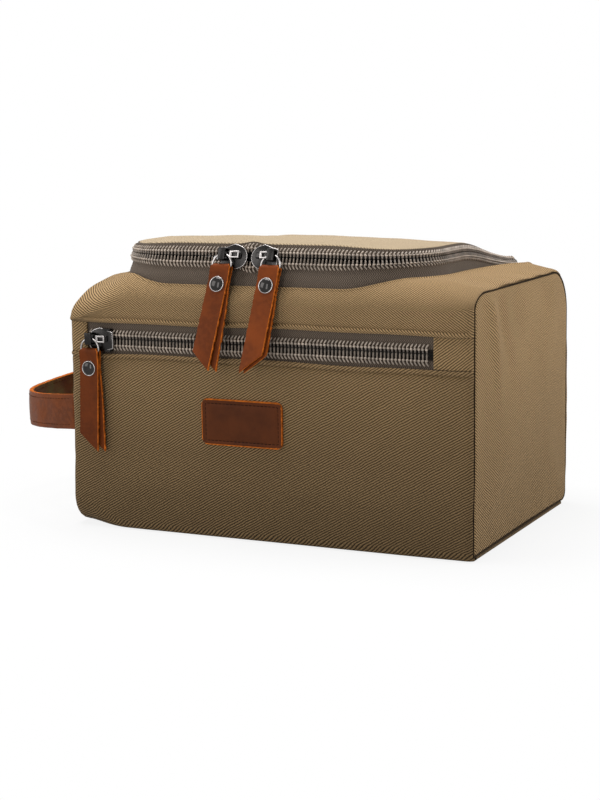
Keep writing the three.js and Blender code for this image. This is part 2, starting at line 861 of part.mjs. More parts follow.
// Patch and strap
function patch() {
  const left = patchCentreX - patchWidth / 2;
  const low = pocketLowerHemHeight - patchBelowPocket - patchHeight / 2;
  const shape = roundedRectangle(left, left + patchWidth, low, low + patchHeight, patchRadius);
  const back = frontFace - seamGap;
  return alongY(shape, back - patchThickness, back);
}

function strap() {
  const end = halfDepth - strapEndMargin;
  const steepest = (strapBowPower * strapReach) / end;
  const root = -endFace - seamGap - strapThickness / 2 / Math.hypot(1, steepest);
  const middle = (share) => {
    const bow = 1 - Math.abs(share) ** strapBowPower;
    const height = THREE.MathUtils.lerp(strapFrontHeight, strapBackHeight, (share + 1) / 2);
    return at(root - strapReach * bow, end * share, height - strapDroop * bow);
  };
  const rings = Array.from({ length: strapSteps + 1 }, (_, i) => {
    const share = THREE.MathUtils.lerp(-1, 1, i / strapSteps);
    const slope = steepest * Math.sign(share) * Math.abs(share) ** (strapBowPower - 1);
    const out = at(-1, slope, 0).normalize().multiplyScalar(strapThickness / 2);
    const up = at(0, 0, strapWidth / 2);
    const centre = middle(share);
    return [
      centre.clone().add(out).add(up),
      centre.clone().add(out).sub(up),
      centre.clone().sub(out).sub(up),
      centre.clone().sub(out).add(up),
    ];
  });
  return skinned(rings, false);
}

// Assembly
add('front_lower_panel', frontLowerPanel(), canvasLook);
add('top_frame_panel', topFrame(), canvasLook);
add('back_panel', backPanel(), canvasLook);
add('bottom_panel', bottomPanel(), canvasLook);
for (const [word, side] of [['left', -1], ['right', 1]]) {
  add(`${word}_end_panel`, endPanel(side), canvasLook);
  add(`${word}_end_lining`, endLining(side), liningLook);
  add(`${word}_seam_binding`, seamBinding(side), bindingLook);
}
add('wrap_lining', wrapLining(), liningLook);
add('base_board', baseBoard(), boardLook);

add('pocket_left_tab', pocketTab(-halfWidth, -halfWidth + leftTabWidth), canvasLook);
add('pocket_right_tab', pocketTab(halfWidth - rightTabWidth, halfWidth), canvasLook);
add('pocket_lining', pocketLining(), liningLook);
const lowerTapeFoot = pocketLowerHemHeight - pocketTapeTuck;
const upperTapeHead = pocketUpperHemHeight + pocketTapeTuck;
add('pocket_zip_lower_tape', pocketTape(lowerTapeFoot, pocketZipHeight - rowInner), tapeLook);
add('pocket_zip_upper_tape', pocketTape(pocketZipHeight + rowInner, upperTapeHead), tapeLook);
add('pocket_zip_lower_teeth', pocketRow(-1), coilLook);
add('pocket_zip_upper_teeth', pocketRow(1), coilLook);

add('main_zip_lower_tape', lowerTape(), tapeLook);
add('main_zip_lower_teeth', mainRow(-1), coilLook);
add('main_zip_upper_tape', upperTape(), tapeLook);
add('main_zip_upper_teeth', mainRow(1), coilLook);
const lidCanvas = {
  lower: 0,
  inwards: 0,
  overhang: lidSideOverhang,
  setback: 0,
  sag: 0,
  thickness: canvas,
};
const lidCloth = {
  lower: canvas + seamGap,
  inwards: canvas + seamGap + tapeThickness + seamGap,
  overhang: -lidLiningSetback,
  setback: lidLiningSetback,
  sag: lidLiningSag,
  thickness: liningCloth,
};
add('lid_panel', lidSkin(lidCanvas), canvasLook);
add('lid_lining', lidSkin(lidCloth), liningLook);

const mainZipLine = frontFace + zipFrontSetback;
const leftPlace = at(leftSliderPlace, mainZipLine, zipHeight);
const rightPlace = at(rightSliderPlace, mainZipLine, zipHeight);
const pocketPlace = at(pocketSliderInset - bagWidth / 2, pocketRail, pocketZipHeight);
zipPuller('left', leftPlace, zipTilt, 1, -1, [-1], leftPullLeanShare, 1);
zipPuller('right', rightPlace, zipTilt, -1, 1, [-1], rightPullLeanShare, -1);
zipPuller('pocket', pocketPlace, 0, -1, -1, [-1, 1], pocketPullLeanShare, 1);

add('leather_patch', patch(), darkLeatherLook);
add('handle_strap', strap(), leatherLook);

export default group;
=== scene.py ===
"""Looks of the canvas shaving kit bag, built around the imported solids."""
import math

import bmesh
import bpy
from bpy.props import FloatProperty, FloatVectorProperty, PointerProperty
from mathutils import Matrix, Vector, noise


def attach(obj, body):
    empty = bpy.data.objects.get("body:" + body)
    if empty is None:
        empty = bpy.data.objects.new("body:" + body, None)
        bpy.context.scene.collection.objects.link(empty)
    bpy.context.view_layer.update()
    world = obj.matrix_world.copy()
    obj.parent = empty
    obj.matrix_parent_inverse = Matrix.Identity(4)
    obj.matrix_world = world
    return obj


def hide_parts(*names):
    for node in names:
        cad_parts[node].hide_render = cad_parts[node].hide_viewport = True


bl_info = {
    "name": "Shaving Kit Bag",
    "version": (1, 0, 0),
    "blender": (4, 5, 0),
    "location": "View3D > Sidebar > Kit Bag",
    "description": "Canvas, leather, zips and hardware of a shaving kit bag",
    "category": "Add Mesh",
}

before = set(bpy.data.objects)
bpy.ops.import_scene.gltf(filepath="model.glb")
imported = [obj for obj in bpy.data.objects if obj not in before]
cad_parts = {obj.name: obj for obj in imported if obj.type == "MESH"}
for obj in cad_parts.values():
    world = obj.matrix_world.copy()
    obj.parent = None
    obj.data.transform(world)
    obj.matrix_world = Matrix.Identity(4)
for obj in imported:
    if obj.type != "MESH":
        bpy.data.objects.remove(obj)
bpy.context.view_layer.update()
MM = 0.001


# Sizes that the solids have too, in millimetres
HALF_WIDTH = 130.0
FRONT = -86.0
CANVAS = 1.4
UPPER_HEM = 125.5
LOWER_HEM = 107.0
POCKET_LINE = 114.8
POCKET_FACE = -84.2
LEFT_TAB = -118.0
RIGHT_TAB = 106.5
END_FACE = 128.4
TILT = math.radians(15)
ZIP_LEFT = -108.0
ZIP_RIGHT = 93.0
ZIP_FRONT = -76.0
ZIP_CORNER = 45.0
ZIP_SPLAY = 13.0
MOUTH = 4.8
ZIP_HEIGHT = 165.3
DROP_START = -10.0
ZIP_END = 60.0
TAPE_FOOT = 149.36
DOME_POWER = 2.6
RING_STRAIGHT = 8.8
RING_CORNER = 1.7

# Sizes of the dressed bag alone, in millimetres. Its zip drops further at the ends than the solids'
# zip does, its lid's crown is lower, and its rings' wire is thinner
ZIP_DROP = 10.5
CROWN = (-7.5, -30.0, 174.7)
RING_WIRE = 1.25
PITCH = 2.3
POCKET_TEETH = 96

# The two ends, with the side of the bag that each is on
SIDES = (("left", -1), ("right", 1))

# Middle of the patch, its width, height and corner radius, and its seam's distance from the edge
PATCH_MIDDLE = (-12.5, 69.5)
PATCH_SIZE = (53.0, 27.5, 4.0)
PATCH_SEAM = 2.7


# Settings that a user would change
def colour_setting(name, description, default):
    return FloatVectorProperty(name=name, description=description, subtype="COLOR", size=3, min=0, max=1,
                               default=default)


def length_setting(name, description, default, most, least=0, precision=4):
    """A length in millimetres, kept in metres."""
    return FloatProperty(name=name, description=description, default=default * MM, min=least * MM,
                         max=most * MM, precision=precision, subtype="DISTANCE", unit="LENGTH")


class KitCanvas(bpy.types.PropertyGroup):
    colour: colour_setting("Canvas", "Colour of the canvas", (0.202, 0.132, 0.065))
    bleached: colour_setting("Bleached", "Colour of the canvas where the sun has faded it",
                             (0.335, 0.258, 0.166))
    twill: length_setting("Twill", "Distance between the diagonal ribs", 1.35, 4, 0.3, 5)
    sag: length_setting("Sag", "How far the top sinks at both ends", 5, 10)


class KitZip(bpy.types.PropertyGroup):
    tape: colour_setting("Tape", "Colour of the zip tape", (0.094, 0.071, 0.053))
    coil: colour_setting("Coil", "Colour of the zip's coil", (0.23, 0.186, 0.148))
    parting: length_setting("Parting", "How far the rows part between the sliders", 2.6, 6)


class KitLeather(bpy.types.PropertyGroup):
    pull: colour_setting("Pulls", "Colour of the pulls' leather", (0.122, 0.027, 0.005))
    patch: colour_setting("Patch", "Colour of the patch", (0.068, 0.018, 0.005))
    strap: colour_setting("Strap", "Colour of the carrying strap", (0.108, 0.027, 0.006))
    edge: colour_setting("Edge", "Colour of the raw edges", (0.52, 0.125, 0.012))
    splay: length_setting("Splay", "How far the two layers of a pull open at the tip", 1.6, 4)


class KitMetal(bpy.types.PropertyGroup):
    colour: colour_setting("Metal", "Colour of the dark nickel", (0.16, 0.15, 0.145))
    polish: FloatProperty(
        name="Polish", description="Roughness of the bright metal", subtype="FACTOR",
        default=0.14, min=0, max=1)


class KitView(bpy.types.PropertyGroup):
    place: FloatVectorProperty(
        name="Camera", description="Where the camera stands", subtype="TRANSLATION",
        unit="LENGTH", size=3, default=(0.464637, -0.993391, 0.248980))
    lens: FloatProperty(
        name="Lens", description="Focal length in millimetres", default=80.08, min=1)
    key: FloatProperty(
        name="Key", description="Power of the main lamp in watts", default=30, min=0)


# Mesh tools
def deselect():
    bpy.ops.object.select_all(action="DESELECT")


def pick(piece):
    """Makes a piece the only selected and the active one."""
    deselect()
    piece.select_set(True)
    bpy.context.view_layer.objects.active = piece
    return piece


def modify(piece, kind, **settings):
    """Adds a modifier and applies it."""
    pick(piece)
    modifier = piece.modifiers.new(kind.title(), kind)
    for name, value in settings.items():
        setattr(modifier, name, value)
    bpy.ops.object.modifier_apply(modifier=modifier.name)
    return piece


def edit(piece, operator, **settings):
    """Runs an edit mode operator on the whole mesh."""
    pick(piece)
    bpy.ops.object.mode_set(mode="EDIT")
    bpy.ops.mesh.select_all(action="SELECT")
    operator(**settings)
    bpy.ops.object.mode_set(mode="OBJECT")
    return piece


def weld(piece):
    return edit(piece, bpy.ops.mesh.remove_doubles, threshold=0.02 * MM)


def outwards(piece):
    return edit(piece, bpy.ops.mesh.normals_make_consistent, inside=False)


def cloth_grid(name, columns, rows, place, spread):
    """A grid laid over a surface. place gives a point for two shares, spread the weave's coordinates."""
    deselect()
    bpy.ops.mesh.primitive_grid_add(x_subdivisions=columns, y_subdivisions=rows, size=2)
    piece = bpy.context.object
    piece.name = piece.data.name = name
    mesh = piece.data
    shares = [((v.co.x + 1) / 2, (v.co.y + 1) / 2) for v in mesh.vertices]
    layer = mesh.uv_layers.active or mesh.uv_layers.new(name="UVMap")
    layer.name = "Weave"
    for loop in mesh.loops:
        layer.data[loop.index].uv = spread(*shares[loop.vertex_index])
    for vertex, (a, b) in zip(mesh.vertices, shares):
        vertex.co = Vector(place(a, b)) * MM
    return piece


def facing(piece, direction):
    """Turns an open sheet's faces towards a direction."""
    total = Vector((0, 0, 0))
    for face in piece.data.polygons:
        total += face.normal * face.area
    if total.dot(Vector(direction)) < 0:
        edit(piece, bpy.ops.mesh.flip_normals)
    return piece


def thicken(piece, thickness, offset=-1):
    """Gives a sheet its thickness, inwards from the modelled face."""
    return modify(piece, "SOLIDIFY", thickness=thickness * MM, offset=offset)


def cut_leather(piece, thickness, hide, raw, offset=-1):
    """Gives a leather strip its thickness, with its cut edge as a second finish."""
    piece.data.materials.append(hide)
    piece.data.materials.append(raw)
    return modify(piece, "SOLIDIFY", thickness=thickness * MM, offset=offset, use_even_offset=True,
                  material_offset_rim=1)


def soften(piece, width, segments=2, angle=50):
    return modify(piece, "BEVEL", width=width * MM, segments=segments,
                  limit_method="ANGLE", angle_limit=math.radians(angle))


def finish(piece, body, materials=(), nodes=(), angle=40):
    """Gives a piece its finish and its body."""
    if not piece.data.materials:
        for material in materials:
            piece.data.materials.append(material)
    pick(piece)
    bpy.ops.object.shade_smooth_by_angle(angle=math.radians(angle))
    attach(piece, body)
    if nodes:
        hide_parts(*nodes)
    return piece


def discard(piece):
    mesh = piece.data
    bpy.data.objects.remove(piece)
    bpy.data.meshes.remove(mesh)


def copies(name, pattern, places):
    """One mesh that holds a copy of a pattern at each place."""
    joined = bmesh.new()
    verts = [v.co.copy() for v in pattern.data.vertices]
    faces = [list(face.vertices) for face in pattern.data.polygons]
    for place in places:
        made = [joined.verts.new(place @ co) for co in verts]
        for face in faces:
            joined.faces.new([made[index] for index in face])
    mesh = bpy.data.meshes.new(name)
    piece = bpy.data.objects.new(name, mesh)
    bpy.context.collection.objects.link(piece)
    joined.to_mesh(mesh)
    joined.free()
    discard(pattern)
    return piece


def together(name, pieces):
    """Joins pieces into one."""
    deselect()
    for piece in pieces:
        piece.select_set(True)
    bpy.context.view_layer.objects.active = pieces[0]
    if len(pieces) > 1:
        bpy.ops.object.join()
    pieces[0].name = pieces[0].data.name = name
    return pieces[0]


def settle(piece):
    """Moves a piece's place into its mesh."""
    pick(piece)
    bpy.ops.object.transform_apply(location=True, rotation=True, scale=True)
    return piece


def framed(origin, x_axis, y_axis, z_axis):
    """A placing matrix from an origin in millimetres and three axes."""
    turn = Matrix((x_axis, y_axis, z_axis)).transposed().to_4x4()
    return Matrix.Translation(Vector(origin) * MM) @ turn


def shifted(x, y, z):
    return Matrix.Translation(Vector((x, y, z)) * MM)


def ease(low, high, value):
    share = max(0.0, min(1.0, (value - low) / (high - low)))
    return share * share * (3 - 2 * share)


def mix(a, b, share):
    return a + (b - a) * share


def ripple(x, y, z, size, seed=0.0):
    return noise.noise(Vector((x / size + seed, y / size - seed, z / size + 2 * seed)))


def hump(value, middle, width):
    return math.exp(-((value - middle) / width) ** 2)


# The bag's form. Section of the wrap in the middle, at the left end and at the right end: height of the
# front edge of the shoulder, middle and reach of the shoulder, its rise, then middle, height and radius
# at the back
FIRM = (139.0, -64.0, 22.0, 16.0, 61.0, 130.0, 25.0)
LEFT_END = (127.0, -20.0, 66.0, 28.0, 58.0, 127.0, 28.0)
RIGHT_END = (141.0, -66.0, 20.0, 15.6, 57.4, 128.0, 28.6)
SINKING = (0, 0, 0, 1, 0, 1, 0)
SEAM_DEPTH = 71.5

# Shares of the section at which the front, the shoulder and the flat top end, and its length
HEM_SHARE, SHOULDER_SHARE, TOP_SHARE = 0.1, 0.35, 0.85
SECTION_LENGTH = 190.0

# The back's bottom corner: its height, and the depth at which the base starts
CORNER_HEIGHT = 7.0
BASE_DEPTH = 79.0

# The front's bottom corner, along the bag and at the rounder left end: its height, the depth at which
# the base starts, and how blunt it is
FRONT_CORNER = (4.0, 85.0, 0.65)
LEFT_CORNER = (18.0, 70.0, 0.95)

# About how long a rounded corner's line is, as a share of its two sides together
CORNER_ARC = 0.8


def form(x):
    """The wrap's section at a place along the bag."""
    left, right = 1 - ease(-HALF_WIDTH, -88.0, x), ease(103.0, HALF_WIDTH, x)
    sag = bpy.context.scene.kit_canvas.sag / MM
    return [firm + left * (low - sag * sinks - firm) + right * (high - sag * sinks - firm)
            for firm, low, high, sinks in zip(FIRM, LEFT_END, RIGHT_END, SINKING)]


def seam_angle(section):
    return math.acos((SEAM_DEPTH - section[4]) / section[6])


def roof(share, x):
    """A point of the wrap from the upper hem, over the shoulder, to the back seam."""
    section = form(x)
    edge, middle, reach, rise, back, back_height, radius = section
    if share < HEM_SHARE:
        return FRONT, mix(UPPER_HEM, edge, share / HEM_SHARE)
    if share < SHOULDER_SHARE:
        angle = (share - HEM_SHARE) / (SHOULDER_SHARE - HEM_SHARE) * math.pi / 2
        return middle - reach * math.cos(angle), edge + rise * math.sin(angle)
    if share < TOP_SHARE:
        return mix(middle, back, (share - SHOULDER_SHARE) / (TOP_SHARE - SHOULDER_SHARE)), edge + rise
    angle = mix(math.pi / 2, seam_angle(section), (share - TOP_SHARE) / (1 - TOP_SHARE))
    return back + radius * math.cos(angle), back_height + radius * math.sin(angle)


def roof_share(x, y):
    """The share of the section at which the wrap passes a depth."""
    section = form(x)
    _, middle, reach, _, back, _, radius = section
    if y < middle:
        angle = math.acos(max(-1.0, min(1.0, (middle - y) / reach)))
        return mix(HEM_SHARE, SHOULDER_SHARE, angle / (math.pi / 2))
    if y < back:
        return mix(SHOULDER_SHARE, TOP_SHARE, (y - middle) / (back - middle))
    angle = math.acos(min(1.0, (y - back) / radius))
    return min(1.0, mix(TOP_SHARE, 1.0, (math.pi / 2 - angle) / (math.pi / 2 - seam_angle(section))))


def roof_height(x, y):
    """Height of the wrap's top above a place inside the bag."""
    edge, middle, reach, rise, back, back_height, radius = form(x)
    if y < middle:
        return edge + rise * math.sqrt(max(0.0, 1 - ((middle - y) / reach) ** 2))
    if y < back:
        return edge + rise
    return back_height + math.sqrt(max(0.0, radius ** 2 - (y - back) ** 2))


def hem_bow(x, high):
    """The slight wave of the pocket's hems."""
    wave = 0.5 * math.sin(x / 31 + (0.6 if high else 2.1)) + 0.35 * math.sin(x / 13 + 1)
    return wave * ease(0, 12, HALF_WIDTH - abs(x)) * 0.8


def edge_roll(x):
    """How far the wrap's ends turn in over the seam."""
    roll_width, roll_depth = 4.5, 2.1
    near = max(0.0, min(1.0, (abs(x) - (HALF_WIDTH - roll_width)) / roll_width))
    return roll_depth * (1 - math.sqrt(1 - 0.98 * near * near))


def cloth_lift(x, y, z, seed):
    """The small humps and hollows of soft canvas."""
    return 0.8 * ripple(x, y, z, 55, seed) + 0.45 * ripple(x, y, z, 21, seed + 3) \
        + 0.12 * ripple(x, y, z, 7, seed + 7)


def seam_pucker(x, z):
    """Pull marks that run in from the end seams."""
    near = 1 - ease(0, 22, HALF_WIDTH - abs(x))
    return -0.5 * near * (0.5 + 0.5 * math.sin(z / 4.3 + ripple(x, 0, z, 20) * 3))


# Distances from a hem's edge at which its bead ends and its stitched groove lies
HEM_BEAD, HEM_GROOVE = 2.7, 3.1


def hem_bead(distance):
    """A turned hem: its rounded edge, then the groove that the stitches pull in."""
    if distance < 0:
        return 0.0
    bead = 0.8 * math.sin(math.pi * min(1.0, distance / HEM_BEAD))
    return bead - 0.7 * hump(distance, HEM_GROOVE, 0.6)


def front_swell(x, z):
    """How far the soft front stands out in front of its flat form, most of all near the base."""
    upper = 0.7 * ease(0, 25, LOWER_HEM - z)
    lower = 2.9 * (1 - ease(26, 50, z))
    side = 1 - 0.35 * (1 - ease(-HALF_WIDTH, -80, x)) - 0.55 * ease(85, HALF_WIDTH, x)
    return (upper + lower) * side * (0.9 + 0.1 * ease(0, 20, z))


def off_patch(x, z):
    """Zero under the patch and one well away from it, where the canvas may ripple."""
    away = max(abs(x - PATCH_MIDDLE[0]) - PATCH_SIZE[0] / 2, abs(z - PATCH_MIDDLE[1]) - PATCH_SIZE[1] / 2)
    return ease(-2, 12, away)


def front_face(x, z):
    """Depth of the front canvas at a place."""
    top = LOWER_HEM + hem_bow(x, False)
    calm = ease(0, 16, z) * ease(0, 14, top - z) * mix(0.25, 1.0, off_patch(x, z))
    lift = calm * (cloth_lift(x, FRONT, z, 1.0) + seam_pucker(x, z)) + hem_bead(top - z)
    return FRONT - front_swell(x, z) - lift + edge_roll(x)


def upper_face(x, z):
    """Depth of the canvas just above the pocket's upper hem."""
    return FRONT - hem_bead(z - UPPER_HEM - hem_bow(x, True)) + edge_roll(x)


# Path of the main zip, as places along its line
LEG = ZIP_END - ZIP_FRONT - ZIP_CORNER
TURN = ZIP_CORNER * math.pi / 2
ZIP_SPAN = ZIP_RIGHT - ZIP_LEFT - 2 * ZIP_CORNER
LEG_START = ZIP_FRONT + ZIP_CORNER


def zip_length(over=0.0):
    return 2 * (LEG + over + TURN) + ZIP_SPAN


def zip_drop(y):
    share = max(0.0, min(1.0, (y - DROP_START) / (ZIP_END - DROP_START)))
    return ZIP_DROP * (1 - math.cos(math.pi * share)) / 2


def zip_place(distance, over=0.0):
    """Point and outward direction at a distance from the left end of the zip's line."""
    leg = LEG + over
    if distance < leg:
        x, y, out = ZIP_LEFT, ZIP_END + over - distance, (-1.0, 0.0)
    elif distance < leg + TURN:
        angle = math.pi + (distance - leg) / ZIP_CORNER
        out = (math.cos(angle), math.sin(angle))
        x, y = ZIP_LEFT + ZIP_CORNER + ZIP_CORNER * out[0], LEG_START + ZIP_CORNER * out[1]
    elif distance < leg + TURN + ZIP_SPAN:
        x, y, out = ZIP_LEFT + ZIP_CORNER + distance - leg - TURN, ZIP_FRONT, (0.0, -1.0)
    elif distance < leg + 2 * TURN + ZIP_SPAN:
        angle = 1.5 * math.pi + (distance - leg - TURN - ZIP_SPAN) / ZIP_CORNER
        out = (math.cos(angle), math.sin(angle))
        x, y = ZIP_RIGHT - ZIP_CORNER + ZIP_CORNER * out[0], LEG_START + ZIP_CORNER * out[1]
    else:
        share = (distance - leg - 2 * TURN - ZIP_SPAN) / LEG
        turned = math.atan2(2 * ZIP_SPLAY * share, LEG)
        out = (math.cos(turned), -math.sin(turned))
        x, y = ZIP_RIGHT + ZIP_SPLAY * share * share, LEG_START + LEG * share
    return Vector((x, y, ZIP_HEIGHT - zip_drop(y))), Vector((out[0], out[1], 0))


def on_zip(place, up, out):
    """A point up along the leaning zip and out from it. The zip lies down towards its ends, and its upper
    half narrows round both corners."""
    point, normal = place
    lying, left_narrowing, right_narrowing = 0.6, 0.22, 0.28
    tilt = TILT + lying * ease(0, ZIP_END, point.y)
    narrowed = left_narrowing * ease(55, 105, -point.x) + right_narrowing * ease(35, 85, point.x)
    rise = up * (1 - narrowed) if up > 0 else up
    outward = out * math.cos(tilt) - rise * math.sin(tilt)
    return point + normal * outward + Vector((0, 0, rise * math.cos(tilt) + out * math.sin(tilt)))


def parting(x, y):
    """How far the two rows stand apart between the sliders."""
    if y > ZIP_FRONT + 1:
        return 0.0
    return bpy.context.scene.kit_zip.parting / MM * hump(x, -9.7, 6.5)


# Materials
class Graph:
    """Short hand for building a node tree."""

    def __init__(self, tree):
        self.tree = tree

    def feed(self, socket, value):
        if isinstance(value, bpy.types.NodeSocket):
            self.tree.links.new(value, socket)
        else:
            socket.default_value = value

    def node(self, kind, values=None, **settings):
        node = self.tree.nodes.new(kind)
        for name, value in settings.items():
            setattr(node, name, value)
        for name, value in (values or {}).items():
            self.feed(node.inputs[name], value)
        return node

    def math(self, operation, first, second=0.0, third=0.0):
        return self.node("ShaderNodeMath", {0: first, 1: second, 2: third}, operation=operation).outputs[0]

    def blend(self, share, first, second):
        node = self.node("ShaderNodeMix", {0: share, 6: first, 7: second}, data_type="RGBA")
        return node.outputs[2]

    def ramp(self, value, low, high):
        return self.node("ShaderNodeMapRange", {0: value, 1: low, 2: high, 3: 0.0, 4: 1.0},
                         interpolation_type="SMOOTHSTEP").outputs[0]

    def noise(self, vector, scale, detail):
        values = {"Vector": vector, "Scale": scale, "Detail": detail}
        return self.node("ShaderNodeTexNoise", values).outputs[0]


def group(name, inputs, outputs, build):
    """A shader node group, built once and used by several materials."""
    known = bpy.data.node_groups.get(name)
    if known:
        return known
    tree = bpy.data.node_groups.new(name, "ShaderNodeTree")
    tree.interface.new_socket("Vector", in_out="INPUT", socket_type="NodeSocketVector")
    for title, value in inputs:
        tree.interface.new_socket(title, in_out="INPUT", socket_type="NodeSocketFloat").default_value = value
    for title in outputs:
        tree.interface.new_socket(title, in_out="OUTPUT", socket_type="NodeSocketFloat")
    graph = Graph(tree)
    source = graph.node("NodeGroupInput")
    results = build(graph, source.outputs)
    sink = graph.node("NodeGroupOutput")
    for title, value in results.items():
        tree.links.new(value, sink.inputs[title])
    return tree


def wave(g, value, pitch):
    """A wave between nought and one."""
    turn = g.math("DIVIDE", 2 * math.pi, pitch)
    return g.math("MULTIPLY_ADD", g.math("SINE", g.math("MULTIPLY", value, turn)), 0.5, 0.5)


def build_twill(g, given):
    parts = g.node("ShaderNodeSeparateXYZ", {0: given["Vector"]}).outputs
    across = g.math("MULTIPLY", parts[0], given["Slant"])
    climb = g.math("MULTIPLY", parts[1], given["Climb"])
    wander = g.math("MULTIPLY", g.noise(given["Vector"], 0.12, 2.0), 1.4)
    rib = wave(g, g.math("ADD", g.math("ADD", across, climb), wander), given["Pitch"])
    along = g.math("SUBTRACT", g.math("MULTIPLY", parts[0], given["Climb"]),
                   g.math("MULTIPLY", parts[1], given["Slant"]))
    pill = wave(g, g.math("ADD", along, wander), g.math("MULTIPLY", given["Pitch"], 1.45))
    height = g.math("MULTIPLY", g.math("POWER", rib, 0.8), g.math("MULTIPLY_ADD", pill, 0.22, 0.74))
    fleck = g.noise(given["Vector"], 0.9, 4.0)
    threads = g.math("MULTIPLY", height, g.math("MULTIPLY_ADD", fleck, 1.3, 0.35))
    return {"Height": height, "Threads": threads}


def build_herringbone(g, given):
    parts = g.node("ShaderNodeSeparateXYZ", {0: given["Vector"]}).outputs
    fold = g.math("PINGPONG", parts[1], given["Column"])
    ribs = wave(g, g.math("ADD", parts[0], g.math("MULTIPLY", fold, 0.9)), given["Pitch"])
    fleck = g.noise(given["Vector"], 2.2, 2.0)
    threads = g.math("MULTIPLY", ribs, g.math("MULTIPLY_ADD", fleck, 0.8, 0.6))
    return {"Height": ribs, "Threads": threads}


def build_wear(g, given):
    large = g.noise(given["Vector"], given["Scale"], 4.0)
    small = g.noise(given["Vector"], g.math("MULTIPLY", given["Scale"], 6.5), 5.0)
    return {"Patches": g.ramp(large, 0.35, 0.68), "Specks": g.ramp(small, 0.42, 0.62)}


def build_grain(g, given):
    cells = g.node("ShaderNodeTexVoronoi", {"Vector": given["Vector"], "Scale": given["Scale"]},
                   feature="DISTANCE_TO_EDGE")
    pores = g.ramp(cells.outputs[0], 0.0, 0.22)
    fine = g.noise(given["Vector"], g.math("MULTIPLY", given["Scale"], 2.4), 4.0)
    return {"Height": g.math("ADD", g.math("MULTIPLY", pores, 0.6), g.math("MULTIPLY", fine, 0.5))}


# A share that rises with height, which sets how far the canvas goes from painted shade low down to painted
# light high up
def build_painted_shade(g, given):
    height = g.node("ShaderNodeSeparateXYZ", {0: given["Vector"]}).outputs[2]
    uneven = g.math("MULTIPLY_ADD", g.noise(given["Vector"], 18.0, 3.0), 0.02, -0.01)
    return {"Fade": g.ramp(g.math("ADD", height, uneven), given["Low"], given["High"])}


GROUP_KINDS = {
    "Twill weave": ((("Pitch", 1.3), ("Slant", 0.6), ("Climb", 0.8)), ("Height", "Threads"), build_twill),
    "Herringbone weave": ((("Pitch", 0.9), ("Column", 1.6)), ("Height", "Threads"), build_herringbone),
    "Wear": ((("Scale", 8.0),), ("Patches", "Specks"), build_wear),
    "Leather grain": ((("Scale", 900.0),), ("Height",), build_grain),
    "Painted shade by height": ((("Low", 0.1), ("High", 0.16)), ("Fade",), build_painted_shade),
}


def use(g, name, vector, **values):
    """Places a node group in a material with its own values."""
    node = g.node("ShaderNodeGroup", node_tree=group(name, *GROUP_KINDS[name]))
    g.feed(node.inputs["Vector"], vector)
    for title, value in values.items():
        node.inputs[title].default_value = value
    return node.outputs


def emptied(owner):
    """The node tree of a material or of the world, with nothing in it."""
    owner.use_nodes = True
    owner.node_tree.nodes.clear()
    return Graph(owner.node_tree)


def material(name, build, **plain_values):
    """A material whose shader takes plain values on its own sockets."""
    known = bpy.data.materials.get(name)
    if known:
        return known
    made = bpy.data.materials.new(name)
    g = emptied(made)
    shader = g.node("ShaderNodeBsdfPrincipled")
    for title, value in plain_values.items():
        shader.inputs[title.replace("_", " ")].default_value = value
    for title, value in build(g).items():
        g.feed(shader.inputs[title], value)
    g.node("ShaderNodeOutputMaterial", {"Surface": shader.outputs[0]})
    return made


def colour(values, gain=1.0):
    return (values[0] * gain, values[1] * gain, values[2] * gain, 1.0)


def weave_uv(g):
    return g.node("ShaderNodeUVMap", uv_map="Weave").outputs[0]


def object_place(g):
    return g.node("ShaderNodeTexCoord").outputs["Object"]


def bump(g, height, strength, distance):
    return g.node("ShaderNodeBump",
                  {"Height": height, "Strength": strength, "Distance": distance * MM}).outputs[0]


# Each canvas panel's cloth: how far its ribs run across and up, the heights between which its painted shade
# turns to painted light, and how light it is at the lower height and at the upper one
CLOTHS = {
    "Canvas front": (-0.5, 0.866, 0.0, 0.125, 0.47, 0.86),
    "Canvas upper": (0.7, 0.714, 0.126, 0.157, 0.95, 1.2),
    "Canvas ends": (0.57, 0.82, 0.02, 0.15, 0.8, 1.2),
    "Canvas back": (0.57, 0.82, 0.02, 0.15, 0.88, 1.1),
    "Canvas tabs": (-0.6, 0.8, 0.05, 0.13, 0.95, 1.0),
}


def canvas_material(name):
    look = bpy.context.scene.kit_canvas
    slant, climb, low, high, dark, light = CLOTHS[name]

    def build(g):
        place = object_place(g)
        twill = use(g, "Twill weave", weave_uv(g), Pitch=look.twill / MM, Slant=slant, Climb=climb)
        wear = use(g, "Wear", place, Scale=14.0)
        # Painted shade darkens each panel low down and painted light brightens it high up
        lit_share = use(g, "Painted shade by height", place, Low=low, High=high)["Fade"]
        deep = g.blend(lit_share, colour(look.colour, dark * 0.26), colour(look.colour, light * 0.32))
        crown = g.blend(lit_share, colour(look.colour, dark * 1.9), colour(look.colour, light * 1.7))
        threads = g.blend(g.ramp(twill["Threads"], 0.02, 0.85), deep, crown)
        worn = g.blend(g.math("MULTIPLY", wear["Patches"], 0.14), threads, colour(look.colour, 0.8 * dark))
        return {"Base Color": worn, "Normal": bump(g, twill["Height"], 0.8, 0.4)}

    return material(name, build, Roughness=0.95, Sheen_Weight=0.03, Sheen_Roughness=0.5,
                    Specular_IOR_Level=0.06)


